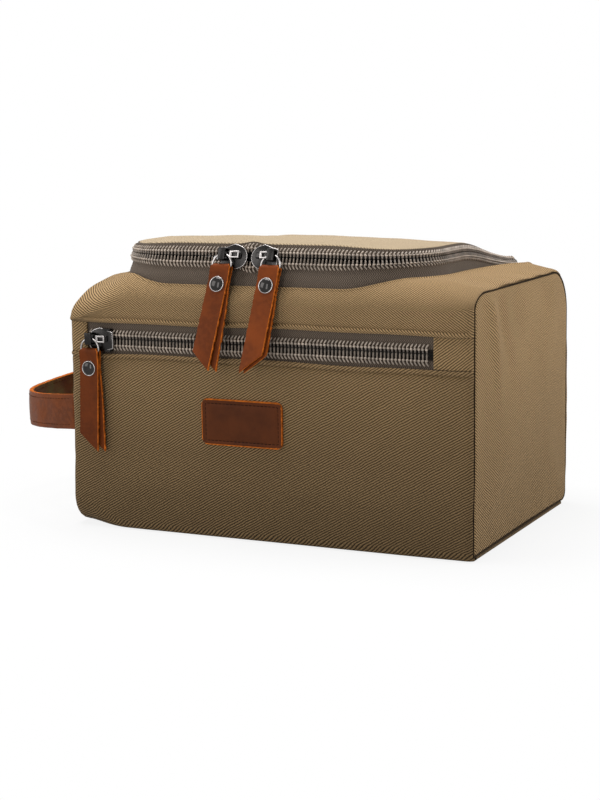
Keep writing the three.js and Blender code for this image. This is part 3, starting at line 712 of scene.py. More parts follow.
def lid_material():
    look = bpy.context.scene.kit_canvas

    def build(g):
        twill = use(g, "Twill weave", weave_uv(g), Pitch=look.twill / MM, Slant=0.6, Climb=0.8)
        wear = use(g, "Wear", object_place(g), Scale=14.0)
        threads = g.blend(g.ramp(twill["Threads"], 0.02, 0.8), colour(look.bleached, 0.55),
                          colour(look.bleached, 1.3))
        worn = g.blend(g.math("MULTIPLY", wear["Patches"], 0.2), threads, colour(look.bleached, 0.85))
        return {"Base Color": worn, "Normal": bump(g, twill["Height"], 0.6, 0.3)}

    return material("Canvas lid", build, Roughness=0.95, Sheen_Weight=0.06, Sheen_Roughness=0.5,
                    Specular_IOR_Level=0.08)


def lining_material():
    def build(g):
        twill = use(g, "Twill weave", weave_uv(g), Pitch=0.6)
        wear = use(g, "Wear", object_place(g), Scale=20.0)
        base = g.blend(twill["Threads"], (0.016, 0.014, 0.012, 1), (0.055, 0.047, 0.038, 1))
        tint = g.blend(g.math("MULTIPLY", wear["Patches"], 0.4), base, (0.03, 0.025, 0.02, 1))
        return {"Base Color": tint, "Normal": bump(g, twill["Height"], 0.4, 0.15)}

    return material("Lining cloth", build, Roughness=0.7, Sheen_Weight=0.15)


def board_material():
    def build(g):
        wear = use(g, "Wear", object_place(g), Scale=30.0)
        grain = use(g, "Leather grain", object_place(g), Scale=1400.0)
        base = g.blend(wear["Patches"], (0.02, 0.018, 0.016, 1), (0.04, 0.035, 0.03, 1))
        return {"Base Color": base, "Normal": bump(g, grain["Height"], 0.4, 0.2)}

    return material("Covered board", build, Roughness=0.75)


def binding_material():
    def build(g):
        ribs = use(g, "Herringbone weave", weave_uv(g), Pitch=1.0, Column=2.4)
        base = g.blend(ribs["Threads"], (0.03, 0.024, 0.018, 1), (0.09, 0.072, 0.052, 1))
        return {"Base Color": base, "Normal": bump(g, ribs["Height"], 0.6, 0.3)}

    return material("Seam binding", build, Roughness=0.85)


def tape_material():
    """Herringbone tape, darkened with painted shade under the coil, where the weave's second coordinate is
    near nought.
    """
    look = bpy.context.scene.kit_zip

    def build(g):
        place = weave_uv(g)
        ribs = use(g, "Herringbone weave", place, Pitch=1.25, Column=1.9)
        wear = use(g, "Wear", object_place(g), Scale=25.0)
        base = g.blend(g.ramp(ribs["Threads"], 0.1, 0.9), colour(look.tape, 0.42), colour(look.tape, 1.55))
        tint = g.blend(g.math("MULTIPLY", wear["Patches"], 0.25), base, colour(look.tape, 0.8))
        across = g.math("ABSOLUTE", g.node("ShaderNodeSeparateXYZ", {0: place}).outputs[1])
        # Painted shade on the tape under the coil, fading out away from it
        clear = g.ramp(across, 2.6, 3.8)
        return {"Base Color": g.blend(clear, colour(look.tape, 0.1), tint),
                "Normal": bump(g, ribs["Height"], 0.6, 0.25)}

    return material("Zip tape", build, Roughness=0.8, Sheen_Weight=0.03, Specular_IOR_Level=0.15)


def specked_material(name, tone, gains, scale, relief, **plain_values):
    """A finish of one colour that wear shifts between two gains. Its specks give its relief."""
    def build(g):
        wear = use(g, "Wear", object_place(g), Scale=scale)
        low, high = gains
        base = g.blend(wear["Patches"], colour(tone, low), colour(tone, high))
        return {"Base Color": base, "Normal": bump(g, wear["Specks"], *relief)}

    return material(name, build, **plain_values)


def coil_material(name, gain, roughness):
    return specked_material(name, bpy.context.scene.kit_zip.coil, (0.75 * gain, 1.15 * gain), 160.0,
                            (0.15, 0.1), Roughness=roughness, Specular_IOR_Level=0.6)


def metal_material(name, gain, roughness=None):
    """Metal as rough as it is told, or else as the polish setting says."""
    look = bpy.context.scene.kit_metal

    def build(g):
        wear = use(g, "Wear", object_place(g), Scale=120.0)
        base = g.blend(wear["Patches"], colour(look.colour, gain), colour(look.colour, 1.3 * gain))
        value = look.polish if roughness is None else roughness
        rough = g.math("MULTIPLY_ADD", wear["Specks"], 0.1, value)
        return {"Base Color": base, "Roughness": rough, "Normal": bump(g, wear["Specks"], 0.05, 0.05)}

    return material(name, build, Metallic=1.0)


def leather_material(name, tone, rub=1.35, faded=None):
    """Waxed leather. faded is the colour that its most handled places have gone."""
    def build(g):
        place = object_place(g)
        wear = use(g, "Wear", place, Scale=55.0)
        grain = use(g, "Leather grain", place, Scale=1500.0)
        base = g.blend(wear["Patches"], colour(tone, 0.8), colour(tone, 1.2))
        rubbed = g.blend(g.math("MULTIPLY", wear["Specks"], 0.3), base, colour(tone, rub))
        if faded:
            bend = g.node("ShaderNodeSeparateXYZ", {0: place}).outputs[0]
            handled = g.ramp(bend, -0.178, -0.2)
            rubbed = g.blend(g.math("MULTIPLY", handled, wear["Patches"]), rubbed, colour(faded))
        rough = g.math("MULTIPLY_ADD", wear["Patches"], 0.12, 0.46)
        return {"Base Color": rubbed, "Roughness": rough, "Normal": bump(g, grain["Height"], 0.3, 0.1)}

    return material(name, build, Specular_IOR_Level=0.07)


def raw_edge_material():
    return specked_material("Raw leather edge", bpy.context.scene.kit_leather.edge, (0.7, 1.2), 420.0,
                            (0.9, 0.3), Roughness=0.85, Specular_IOR_Level=0.1)


# Specked thread, also used for the dark painted shade along the end seams
def thread_and_shade_material(name, tone):
    return specked_material(name, tone, (0.7, 1.2), 700.0, (0.5, 0.1), Roughness=0.9,
                            Specular_IOR_Level=0.05)


# Stitches
def stitch_pattern(length, radius):
    """One stitch, a small thread that dips at both ends."""
    deselect()
    bpy.ops.mesh.primitive_cylinder_add(vertices=6, radius=radius * MM, depth=length * MM,
                                        rotation=(0, math.pi / 2, 0))
    piece = settle(bpy.context.object)
    modify(piece, "BEVEL", width=radius * 0.7 * MM, segments=1, limit_method="NONE")
    for vertex in piece.data.vertices:
        share = vertex.co.x / (length / 2 * MM)
        vertex.co.z -= radius * 0.9 * MM * share * share
    return piece


def stitch_line(name, points, normals, body, finish_material, gap, length, radius):
    """Stitches along a line of points, each lying flat on the cloth."""
    places = []
    travelled, target = 0.0, gap / 2
    for index in range(len(points) - 1):
        start, end = Vector(points[index]), Vector(points[index + 1])
        step = (end - start).length
        while step > 0 and travelled + step >= target:
            point = start.lerp(end, (target - travelled) / step)
            along = (end - start).normalized()
            side = Vector(normals[index]).cross(along).normalized()
            up = along.cross(side)
            places.append(framed(point + up * radius * 0.3, along, side, up))
            target += gap
        travelled += step
    piece = copies(name, stitch_pattern(length, radius), places)
    return finish(piece, body, [finish_material], angle=80)


# Canvas
def top_columns():
    """Pairs of places, one at the opening's edge and one at the sheet's edge, as x and section share."""
    pairs = []
    back_steps, leg_steps, turn_steps, span_steps = 6, 34, 40, 90

    def inner(distance):
        point, out = zip_place(distance)
        x, y = point.x + out.x * MOUTH, point.y + out.y * MOUTH
        return x, roof_share(x, y)

    def straight_back(x):
        return [(x, roof_share(x, mix(SEAM_DEPTH, ZIP_END, step / back_steps))) for step in range(back_steps)]

    def level(places, edge):
        """Pairs that run straight out to a sheet's edge, at the same share."""
        pairs.extend(((x, share), (edge, share)) for x, share in places)

    level(straight_back(inner(0)[0]), -HALF_WIDTH)
    level((inner(LEG * step / leg_steps) for step in range(leg_steps)), -HALF_WIDTH)
    start = inner(LEG)[1]
    for step in range(turn_steps):
        place, half = inner(LEG + TURN * step / turn_steps), 2 * step / turn_steps
        if half < 1:
            outer = (-HALF_WIDTH, start * (1 - half))
        else:
            outer = (mix(-HALF_WIDTH, ZIP_LEFT + ZIP_CORNER, half - 1), 0.0)
        pairs.append((place, outer))
    for step in range(span_steps):
        place = inner(LEG + TURN + ZIP_SPAN * step / span_steps)
        pairs.append((place, (place[0], 0.0)))
    last_leg = LEG + 2 * TURN + ZIP_SPAN
    end = inner(last_leg)[1]
    for step in range(turn_steps):
        place, half = inner(LEG + TURN + ZIP_SPAN + TURN * step / turn_steps), 2 * step / turn_steps
        if half < 1:
            outer = (mix(ZIP_RIGHT - ZIP_CORNER, HALF_WIDTH, half), 0.0)
        else:
            outer = (HALF_WIDTH, end * (half - 1))
        pairs.append((place, outer))
    level((inner(last_leg + LEG * step / leg_steps) for step in range(leg_steps + 1)), HALF_WIDTH)
    level(reversed(straight_back(inner(zip_length())[0])), HALF_WIDTH)
    return pairs


def front_corner(x):
    """Height of the front's bottom corner at a place, the depth at which the base starts, its bluntness."""
    rounder = 1 - ease(-HALF_WIDTH, -92, x)
    return [mix(usual, left, rounder) for usual, left in zip(FRONT_CORNER, LEFT_CORNER)]


def corner_point(x, share):
    """Front of the bottom corner, from the face at nought to the base at one."""
    height, depth, blunt = front_corner(x)
    angle = share * math.pi / 2
    face = front_face(x, height) - edge_roll(x)
    y = -depth + (face + depth) * max(0.0, math.cos(angle)) ** blunt
    return y, height * (1 - math.sin(angle) ** blunt)


def canvas_panel(piece, direction, cloth, node, bevel=0.35):
    """Turns a canvas sheet outwards and gives it its thickness, soft edges and finish."""
    facing(piece, direction)
    thicken(piece, CANVAS)
    soften(piece, bevel)
    finish(piece, "bag", [canvas_material(cloth)], [node])


class KITBAG_OT_wrap(bpy.types.Operator):
    """Canvas front, top, back and base"""
    bl_idname = "kitbag.wrap"
    bl_label = "Canvas wrap"

    def execute(self, context):
        self.front()
        self.top()
        self.back()
        self.base()
        return {"FINISHED"}

    def front(self):
        # Length of the sheet, and how much of it lies on the face, round the corner and by the hem
        length, flat, corner, hem = 116.0, 100.0, 11.0, 6.5
        hem_rows = 0.22

        def run_at(b):
            share = 1 - b
            if share < hem_rows:
                return share / hem_rows * hem
            return mix(hem, length, (share - hem_rows) / (1 - hem_rows))

        def place(a, b):
            x, run = mix(-HALF_WIDTH, HALF_WIDTH, a), run_at(b)
            if run < flat:
                z = mix(LOWER_HEM + hem_bow(x, False), front_corner(x)[0], run / flat)
                return x, front_face(x, z), z
            y, z = corner_point(x, min(1.0, (run - flat) / corner))
            return x, y + edge_roll(x) + max(0.0, run - flat - corner) * 0.7, z

        def spread(a, b):
            """The weave follows the cloth: down the face, round the corner, then under the base."""
            x, run = mix(-HALF_WIDTH, HALF_WIDTH, a), run_at(b)
            height, depth, _ = front_corner(x)
            face = (LOWER_HEM - height) * min(1.0, run / flat)
            arc = CORNER_ARC * (height - FRONT - depth) * min(1.0, max(0.0, run - flat) / corner)
            return x, -face - arc - max(0.0, run - flat - corner)

        piece = cloth_grid("canvas_front", 150, 84, place, spread)
        canvas_panel(piece, (0, -1, 0), "Canvas front", "front_lower_panel")

    def top(self):
        pairs = top_columns()
        last = len(pairs) - 1

        def at(a, b):
            inner, outer = pairs[int(round(a * last))]
            share = 0.5 - 0.5 * math.cos(math.pi * b)
            return mix(inner[0], outer[0], share), mix(inner[1], outer[1], share), inner

        def place(a, b):
            x, share, inner = at(a, b)
            y, z = roof(share, x)
            if share < HEM_SHARE:
                z += hem_bow(x, True) * (1 - share / HEM_SHARE)
            step = 0.004
            ahead, behind = roof(min(1, share + step), x), roof(max(0, share - step), x)
            along = Vector((ahead[0] - behind[0], ahead[1] - behind[1])).normalized()
            away = math.dist((x, SECTION_LENGTH * share), (inner[0], SECTION_LENGTH * inner[1]))
            calm = ease(1, 18, away) * ease(0, HEM_SHARE, share) * ease(0, 0.05, 1 - share)
            lift = calm * (cloth_lift(x, y, z, 4.0) + seam_pucker(x, y)) - edge_roll(x)
            lift += 0.7 * math.sin(math.pi * min(1.0, away / 3.0 + 0.15))
            if share < HEM_SHARE:
                lift += hem_bead(z - UPPER_HEM - hem_bow(x, True))
            return x, y - along.y * lift, z + along.x * lift

        def spread(a, b):
            x, share, _ = at(a, b)
            return x, SECTION_LENGTH * share

        piece = cloth_grid("canvas_top", last, 46, place, spread)
        canvas_panel(piece, (0, -0.3, 1), "Canvas upper", "top_frame_panel")

    def back(self):
        # Shares of the sheet at which the arc ends, the flat ends and the corner ends, the sheet's
        # length, how much of it the last share lays under the base, and the back's swell
        arc, flat, corner = 0.2, 0.9, 0.97
        length, under, swell = 170, 100, 2.2

        def place(a, b):
            x = mix(HALF_WIDTH, -HALF_WIDTH, a)
            section = form(x)
            back, height, radius = section[4:]
            run = 1 - b
            if run < arc:
                angle = seam_angle(section) * (1 - run / arc)
                ny, nz = math.cos(angle), math.sin(angle)
                y, z = back + radius * ny, height + radius * nz
            elif run < flat:
                y, z, ny, nz = back + radius, mix(height, CORNER_HEIGHT, (run - arc) / (flat - arc)), 1.0, 0.0
            else:
                angle = min(1.0, (run - flat) / (corner - flat)) * math.pi / 2
                ny, nz = math.cos(angle), -math.sin(angle)
                y = BASE_DEPTH + (back + radius - BASE_DEPTH) * ny - max(0.0, run - corner) * under
                z = CORNER_HEIGHT * (1 + nz)
            calm = ease(0, 16, z) * ease(0, 0.08, run)
            bow = swell * math.sin(math.pi * min(1, z / 125))
            lift = calm * (cloth_lift(x, y, z, 9.0) + seam_pucker(x, z) + bow) - edge_roll(x)
            return x, y + ny * lift, max(0.0, z + nz * lift)

        piece = cloth_grid("canvas_back", 110, 76, place,
                           lambda a, b: (mix(HALF_WIDTH, -HALF_WIDTH, a), (b - 1) * length))
        canvas_panel(piece, (0, 1, 0), "Canvas back", "back_panel")

    def base(self):
        under, clear = 3.0, 0.05

        def spread(a, b):
            x = mix(-HALF_WIDTH, HALF_WIDTH, a)
            return x, mix(under - front_corner(x)[1], BASE_DEPTH - under, b)

        piece = cloth_grid("canvas_base", 60, 40, lambda a, b: (*spread(a, b), clear), spread)
        facing(piece, (0, 0, -1))
        thicken(piece, CANVAS)
        finish(piece, "bag", [canvas_material("Canvas front")], ["bottom_panel"])


def running_lengths(points):
    """How far along a line each of its points lies."""
    lengths = [0.0]
    for first, second in zip(points, points[1:]):
        lengths.append(lengths[-1] + math.dist(first, second))
    return lengths


def along_at(points, index, reach):
    """Direction of a closed line at one of its points, from its neighbours at a reach."""
    before, after = points[index - reach], points[(index + reach) % len(points)]
    return Vector((after[0] - before[0], after[1] - before[1])).normalized()


def end_outline(side, inset, count=148):
    """The wrap's outline at one end, from the middle of the base round by the front."""
    x = side * HALF_WIDTH
    section = form(x)
    back, back_height, radius = section[4:]
    outer = [(0.0, 0.0), (-60.0, 0.0)]
    for step in range(13):
        outer.append(corner_point(x, 1 - step / 12))
    for step in range(1, 20):
        z = mix(front_corner(x)[0], UPPER_HEM, step / 20)
        outer.append((FRONT - front_swell(x, z), z))
    for step in range(60):
        outer.append(roof(step / 60, x))
    for step in range(13):
        angle = seam_angle(section) * (1 - step / 12)
        outer.append((back + radius * math.cos(angle), back_height + radius * math.sin(angle)))
    for step in range(9):
        angle = math.pi / 2 * step / 8
        outer.append((BASE_DEPTH + (back + radius - BASE_DEPTH) * math.cos(angle),
                      CORNER_HEIGHT * (1 - math.sin(angle))))
    outer.append((0.0, 0.0))
    lengths = running_lengths(outer)
    even, index = [], 0
    for step in range(count):
        target = lengths[-1] * step / count
        while lengths[index + 1] < target:
            index += 1
        share = (target - lengths[index]) / max(1e-9, lengths[index + 1] - lengths[index])
        even.append((mix(outer[index][0], outer[index + 1][0], share),
                     mix(outer[index][1], outer[index + 1][1], share)))
    inner = []
    for step in range(count):
        along = along_at(even, step, 2)
        inner.append((even[step][0] + along.y * inset, even[step][1] - along.x * inset))
    return inner


# Middle of an end panel's height, where its rings of faces close
END_MIDDLE = 76.0

# How far an end panel's edge is sunk behind the wrap's, then how high and how wide its rounded rim is
END_SUNK, END_RISE, END_RISE_WIDTH = 4.2, 4.9, 5.0

# How far each end panel swells in its middle
END_SWELL = {"left": 4.0, "right": 2.4}

# Slanting creases of an end panel: how far each stands out, how far in front of the middle it would be
# at the height CREASE_TOP, how it leans, its width, and the heights between which it fades in
CREASE_TOP = 150
END_CREASES = ((1.5, 62, 0.25, 5, 62, 128), (-1.7, 47, 0.3, 7, 78, 135))


def ring_at(outline, a):
    return outline[int(round(a * len(outline))) % len(outline)]


class KITBAG_OT_ends(bpy.types.Operator):
    """Canvas end panels, puffed out between the wrap's seams"""
    bl_idname = "kitbag.ends"
    bl_label = "End panels"

    def execute(self, context):
        for word, side in SIDES:
            self.panel(word, side)
        return {"FINISHED"}

    def panel(self, word, side):
        outline = end_outline(side, 1.3)

        def at(a, b):
            edge = ring_at(outline, a)
            share = b ** 1.7
            return mix(edge[0], 0.0, share), mix(edge[1], END_MIDDLE, share), edge

        def place(a, b):
            y, z, edge = at(a, b)
            away = math.dist((y, z), edge)
            near = min(1.0, away / END_RISE_WIDTH)
            puff = END_RISE * math.sqrt(1 - (1 - near) ** 2) - END_SUNK
            soft = 0.8 * cloth_lift(side * HALF_WIDTH, y, z, 12.0)
            for height, ahead, slope, width, low, high in END_CREASES:
                soft += height * hump(y + ahead - (CREASE_TOP - z) * slope, 0, width) * ease(low, high, z)
            soft += 0.5 * math.sin(y / 8.5 + 1.3) * ease(100, 145, z)
            lift = puff + END_SWELL[word] * ease(0, 60, away) + ease(2, 14, away) * soft
            return side * (HALF_WIDTH + lift), y, z

        def spread(a, b):
            y, z, _ = at(a, b)
            return side * y, z

        piece = cloth_grid(f"canvas_end_{word}", len(outline), 44, place, spread)
        weld(piece)
        facing(piece, (side, 0, 0))
        thicken(piece, 1.2)
        finish(piece, "bag", [canvas_material("Canvas ends")], [f"{word}_end_panel"])


# How far the tabs lie behind the front, and their seams from the turned edges
TAB_SETBACK, TAB_SEAM = 0.45, 2.4


class KITBAG_OT_pocket(bpy.types.Operator):
    """Canvas tabs at the ends of the pocket's zip"""
    bl_idname = "kitbag.pocket"
    bl_label = "Pocket tabs"

    def execute(self, context):
        self.tab("left", -HALF_WIDTH, LEFT_TAB, LEFT_TAB, 12)
        self.tab("right", RIGHT_TAB, HALF_WIDTH, RIGHT_TAB, 22)
        return {"FINISHED"}

    def tab(self, word, low, high, cut, columns):
        """A tab from one place to another, with a turned and sewn edge at its cut."""
        clear = 0.1

        def place(a, b):
            x = mix(low, high, a)
            z = mix(LOWER_HEM + clear, UPPER_HEM - clear, b)
            z += mix(hem_bow(x, False), hem_bow(x, True), b)
            fold = 0.5 * (1 - ease(0, 1.6, abs(x - cut)))
            groove = 0.3 * hump(abs(x - cut), TAB_SEAM, 0.5)
            lift = 0.4 * math.sin(math.pi * b) + 0.25 * ripple(x, 0, z, 9) - edge_roll(x) - fold - groove
            return x, FRONT + TAB_SETBACK - lift, z

        def spread(a, b):
            return mix(low, high, a), b * (UPPER_HEM - LOWER_HEM)

        piece = cloth_grid(f"canvas_tab_{word}", columns, 18, place, spread)
        canvas_panel(piece, (0, -1, 0), "Canvas tabs", f"pocket_{word}_tab", 0.4)


# The lining's section, from the front down, along the base and up the back, and how far below the wrap's
# top it stays
LINING_PATH = ((-77.6, 137.0), (-77.6, 8.0), (-75.0, 3.0), (-70.0, 2.0), (70.0, 2.0), (80.0, 3.6),
               (83.6, 9.0), (83.6, 130.0), (81.6, 139.0), (77.0, 146.0), (71.4, 149.2))
LINING_CLEAR = 2.6

# Length round a bag's end, which the weave of its bindings and seams runs along
END_ROUND = 560


class KITBAG_OT_lining(bpy.types.Operator):
    """Dark lining, seam bindings and the covered base board"""
    bl_idname = "kitbag.lining"
    bl_label = "Lining"

    def execute(self, context):
        self.wrap()
        for word, side in SIDES:
            self.end(word, side)
            self.binding(word, side)
        self.pocket()
        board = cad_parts["base_board"]
        board.data.materials.clear()
        board.data.materials.append(board_material())
        return {"FINISHED"}

    def sheet(self, name, columns, rows, place, spread, node, direction=None):
        piece = cloth_grid(name, columns, rows, place, spread)
        if direction:
            weld(piece)
            facing(piece, direction)
        thicken(piece, 0.5, 0)
        return finish(piece, "bag", [lining_material()], [node])

    def wrap(self):
        half = 125.4
        lengths = running_lengths(LINING_PATH)

        def path_point(run):
            index = 0
            while index < len(LINING_PATH) - 2 and lengths[index + 1] <= run:
                index += 1
            share = (run - lengths[index]) / (lengths[index + 1] - lengths[index])
            first, second = LINING_PATH[index], LINING_PATH[index + 1]
            return mix(first[0], second[0], share), mix(first[1], second[1], share)

        def place(a, b):
            x = mix(half, -half, a)
            y, z = path_point(b * lengths[-1])
            if z > 110:
                z = min(z, roof_height(x, y) - LINING_CLEAR)
            crease = 0.35 * ripple(x, y, z, 30, 2) + 0.15 * ripple(x, y, z, 11, 5)
            if 8 < z < 140:
                y += math.copysign(0.3 + crease, -y) * ease(0, 12, z)
            return x, y, z

        self.sheet("lining_wrap", 70, 110, place, lambda a, b: (mix(half, -half, a), b * lengths[-1]),
                   "wrap_lining")

    def end(self, word, side):
        outline = end_outline(side, 2.8)

        def spread(a, b):
            edge = ring_at(outline, a)
            return mix(edge[0], 0.0, b), mix(edge[1], END_MIDDLE, b)

        def place(a, b):
            y, z = spread(a, b)
            return side * (126.4 - 0.25 * ripple(y, z, 0, 25, 3)), y, z

        self.sheet(f"lining_end_{word}", len(outline), 20, place, spread, f"{word}_end_lining", (-side, 0, 0))

    def binding(self, word, side):
        outline = end_outline(side, 4.2)
        outer, inner, front = 125.0, 116.5, -74.6

        def place(a, b):
            y, z = ring_at(outline, a)
            y = max(y, front)
            pull = 0.8 * math.sin(math.pi * b) / max(1.0, math.hypot(y, z - END_MIDDLE))
            return side * mix(outer, inner, b), y * (1 - pull), END_MIDDLE + (z - END_MIDDLE) * (1 - pull)

        piece = cloth_grid(f"seam_binding_{word}", len(outline), 6, place,
                           lambda a, b: (a * END_ROUND, b * (outer - inner)))
        weld(piece)
        outwards(piece)
        thicken(piece, 1.2, 0)
        finish(piece, "bag", [binding_material()], [f"{word}_seam_binding"])

    def pocket(self):
        half, low, high, depth = 125.0, 12.0, 132.0, -78.0

        def spread(a, b):
            return mix(-half, half, a), mix(low, high, b)

        def place(a, b):
            x, z = spread(a, b)
            z = min(z, roof_height(x, depth) - LINING_CLEAR)
            return x, depth + 0.2 * ripple(x, 0, z, 20), z

        self.sheet("lining_pocket", 60, 30, place, spread, "pocket_lining")


# Rims of the lid, from its edge inwards: up and out from the zip's line, then depth and height at the
# hinge. The lining has two, further in
LID_RIMS = ((6.6, -1.25, 71.5, 151.85), (7.6, -1.2, 71.4, 152.25), (8.3, -1.15, 71.0, 152.65),
            (9.0, -1.35, 70.2, 153.15), (9.5, -2.0, 69.2, 153.55), (9.8, -3.0, 68.0, 153.95))
LID_LINING_RIMS = ((7.0, -3.0, 66.0, 150.4), (7.8, -3.2, 64.5, 151.2))


class KITBAG_OT_lid(bpy.types.Operator):
    """Canvas lid and its lining"""
    bl_idname = "kitbag.lid"
    bl_label = "Lid"

    def execute(self, context):
        # How far the rims of the lid and of its lining run past the zip's end
        past, short = 2, -4
        rims = [self.border(past, *rim) for rim in LID_RIMS]
        self.sheet("lid_canvas", rims, 0.0, 0.5, lid_material(), "lid_panel", "canvas", 1.3)
        rims = [self.border(short, *rim) for rim in LID_LINING_RIMS]
        self.sheet("lid_lining_cloth", rims, 3.9, 0.4, lining_material(), "lid_lining", "lining", 0.5)
        return {"FINISHED"}

    def border(self, over, up, out, depth, height):
        """Points round the lid, along the zip and back along the hinge."""
        zip_points, hinge_points, corner_cut = 180, 40, 9.0
        length = zip_length(over)
        points = [on_zip(zip_place(length * step / (zip_points - 1), over), up, out)
                  for step in range(zip_points)]
        left, right = points[0].x + corner_cut, points[-1].x - corner_cut
        for step in range(hinge_points):
            points.append(Vector((mix(right, left, step / (hinge_points - 1)), depth, height)))
        return points

    def sheet(self, name, rims, drop, lift, finish_material, node, slot, thickness):
        """Closes the rims with a dome. It rises more slowly where the cloth is slack, at the left and at
        the right's back."""
        crown = Vector((CROWN[0], CROWN[1], CROWN[2] - drop))
        rings = list(rims)
        around, dome_rings, slack_power = len(rims[0]), 18, 1.15
        for index in range(1, dome_rings + 1):
            share = (index / dome_rings) ** 1.5
            ring = []
            for point in rims[-1]:
                x, y = mix(point.x, crown.x, share), mix(point.y, crown.y, share)
                slack = 0.35 * ease(-60, 0, point.y) * ease(20, 90, point.x) + 0.5 * ease(40, 100, -point.x)
                rise = 1 - (1 - share) ** mix(DOME_POWER, slack_power, slack)
                calm = ease(0.02, 0.2, share) * ease(0, 0.2, 1 - share)
                z = mix(point.z, crown.z, rise) + lift * calm * cloth_lift(x, y, 0, 17.0)
                ring.append(Vector((x, y, z)))
            rings.append(ring)
        last = len(rings) - 1

        def place(a, b):
            return rings[int(round(b * last))][int(round(a * around)) % around]

        def spread(a, b):
            point = place(a, b)
            return point.x, point.y + 0.8 * max(0, 160 - point.z)

        piece = cloth_grid(name, around, last, place, spread)
        weld(piece)
        facing(piece, (0, 0, 1))
        thicken(piece, thickness)
        return finish(piece, "lid", [finish_material], [node])


# How far the tape lies behind the zip's line
TAPE_SETBACK = -0.1

# How far the chain's links and its strands lie up the tape and out from it, and how the strands slant
LINK_UP, LINK_OUT = 3.15, 1.75
STRAND_UP, STRAND_OUT = 4.85, 1.15
STRAND_SLANT = math.radians(-33)


class KITBAG_OT_tapes(bpy.types.Operator):
    """Herringbone tapes of both zips"""
    bl_idname = "kitbag.tapes"
    bl_label = "Zip tapes"

    def execute(self, context):
        self.main_lower()
        self.main_upper()
        for word, low, high in (("lower", 102.0, POCKET_LINE - 1), ("upper", POCKET_LINE + 1, 130.5)):
            self.pocket(word, low, high)
        return {"FINISHED"}

    def tape(self, name, columns, rows, place, spread, body, node):
        piece = cloth_grid(name, columns, rows, place, spread)
        facing(piece, (0, -1, 0))
        thicken(piece, 0.7)
        return finish(piece, body, [tape_material()], [node])

    def main_lower(self):
        length = zip_length()
        foot_out = 16.5 * math.sin(TILT)
        knee, edge, knee_share, wall = -5.7, -1.0, 0.5, 10.6

        def place(a, b):
            at = zip_place(a * length)
            point, out = at
            apart = parting(point.x, point.y)
            if b > knee_share:
                share = (b - knee_share) / (1 - knee_share)
                return on_zip(at, mix(knee, edge, share) - apart * share, TAPE_SETBACK)
            low = Vector((point.x, point.y, TAPE_FOOT)) + out * foot_out
            share = b / knee_share
            bow = 0.5 * math.sin(math.pi * share) + 0.25 * ripple(point.x, point.y, 0, 30, 5)
            return low.lerp(on_zip(at, knee, TAPE_SETBACK), share) + out * bow * math.sin(math.pi * share)

        def spread(a, b):
            if b > knee_share:
                return a * length, mix(knee, edge, (b - knee_share) / (1 - knee_share))
            return a * length, mix(knee - wall, knee, b / knee_share)

        self.tape("main_tape_lower", 260, 14, place, spread, "bag", "main_zip_lower_tape")

    def main_upper(self):
        length = zip_length()
        low, high = 1.0, 8.4

        def place(a, b):
            at = zip_place(a * length)
            apart = parting(at[0].x, at[0].y)
            return on_zip(at, mix(low, high, b) + apart * (1 - 0.4 * b), TAPE_SETBACK - 0.3 * b)

        self.tape("main_tape_upper", 260, 8, place, lambda a, b: (a * length, mix(low, high, b)),
                  "lid", "main_zip_upper_tape")

    def pocket(self, word, low, high):
        half = 125.0

        def place(a, b):
            x, z = mix(-half, half, a), mix(low, high, b)
            return x, POCKET_FACE + 0.1 - 0.12 * ripple(x, 0, z, 14), z

        self.tape(f"pocket_tape_{word}", 150, 10, place,
                  lambda a, b: (mix(-half, half, a), mix(low, high, b) - POCKET_LINE),
                  "bag", f"pocket_zip_{word}_tape")


def pip(half_length, half_width, half_depth, blunt, middle=(0.0, 0.0, 0.0), bend=0.0):
    """A small blunt rod that lies across the zip, with few faces because it is copied by the hundred."""
    deselect()
    bpy.ops.mesh.primitive_uv_sphere_add(segments=6, ring_count=6, radius=1, rotation=(math.pi / 2, 0, 0))
    piece = settle(bpy.context.object)
    for vertex in piece.data.vertices:
        x, y, z = vertex.co
        size = math.hypot(x, z)
        swell = size ** (blunt - 1) if size > 0.01 else 0.0
        vertex.co = Vector((x * swell * half_width + middle[0], y * half_length + middle[1],
                            z * swell * half_depth + middle[2] - bend * y * y)) * MM
    return piece


def row_places(count, place_at, sign, slant=0.0, up=0.0, out=0.0):
    """Places of teeth or links along a row, with y up to the row's own side."""
    places = []
    for index in range(count):
        at, along, lean, apart = place_at((index + 0.5) * PITCH)
        across = lean * sign
        side = along * sign
        face = side.cross(across).normalized()
        point = at + across * (apart + up) + face * out
        places.append(framed(point, side, across, face) @ Matrix.Rotation(slant, 4, "Z"))
    return places


def main_row(distance):
    place = zip_place(distance)
    point = place[0]
    along = (zip_place(distance + 0.5)[0] - point).normalized()
    reach = on_zip(place, 1, 0) - point
    lean = reach.normalized()
    along = (along - lean * along.dot(lean)).normalized()
    return point, along, reach, parting(point.x, point.y)


def pocket_row(distance):
    point = Vector((LEFT_TAB + 1.2 + distance, POCKET_FACE, POCKET_LINE))
    return point, Vector((1, 0, 0)), Vector((0, 0, 1)), 0.0


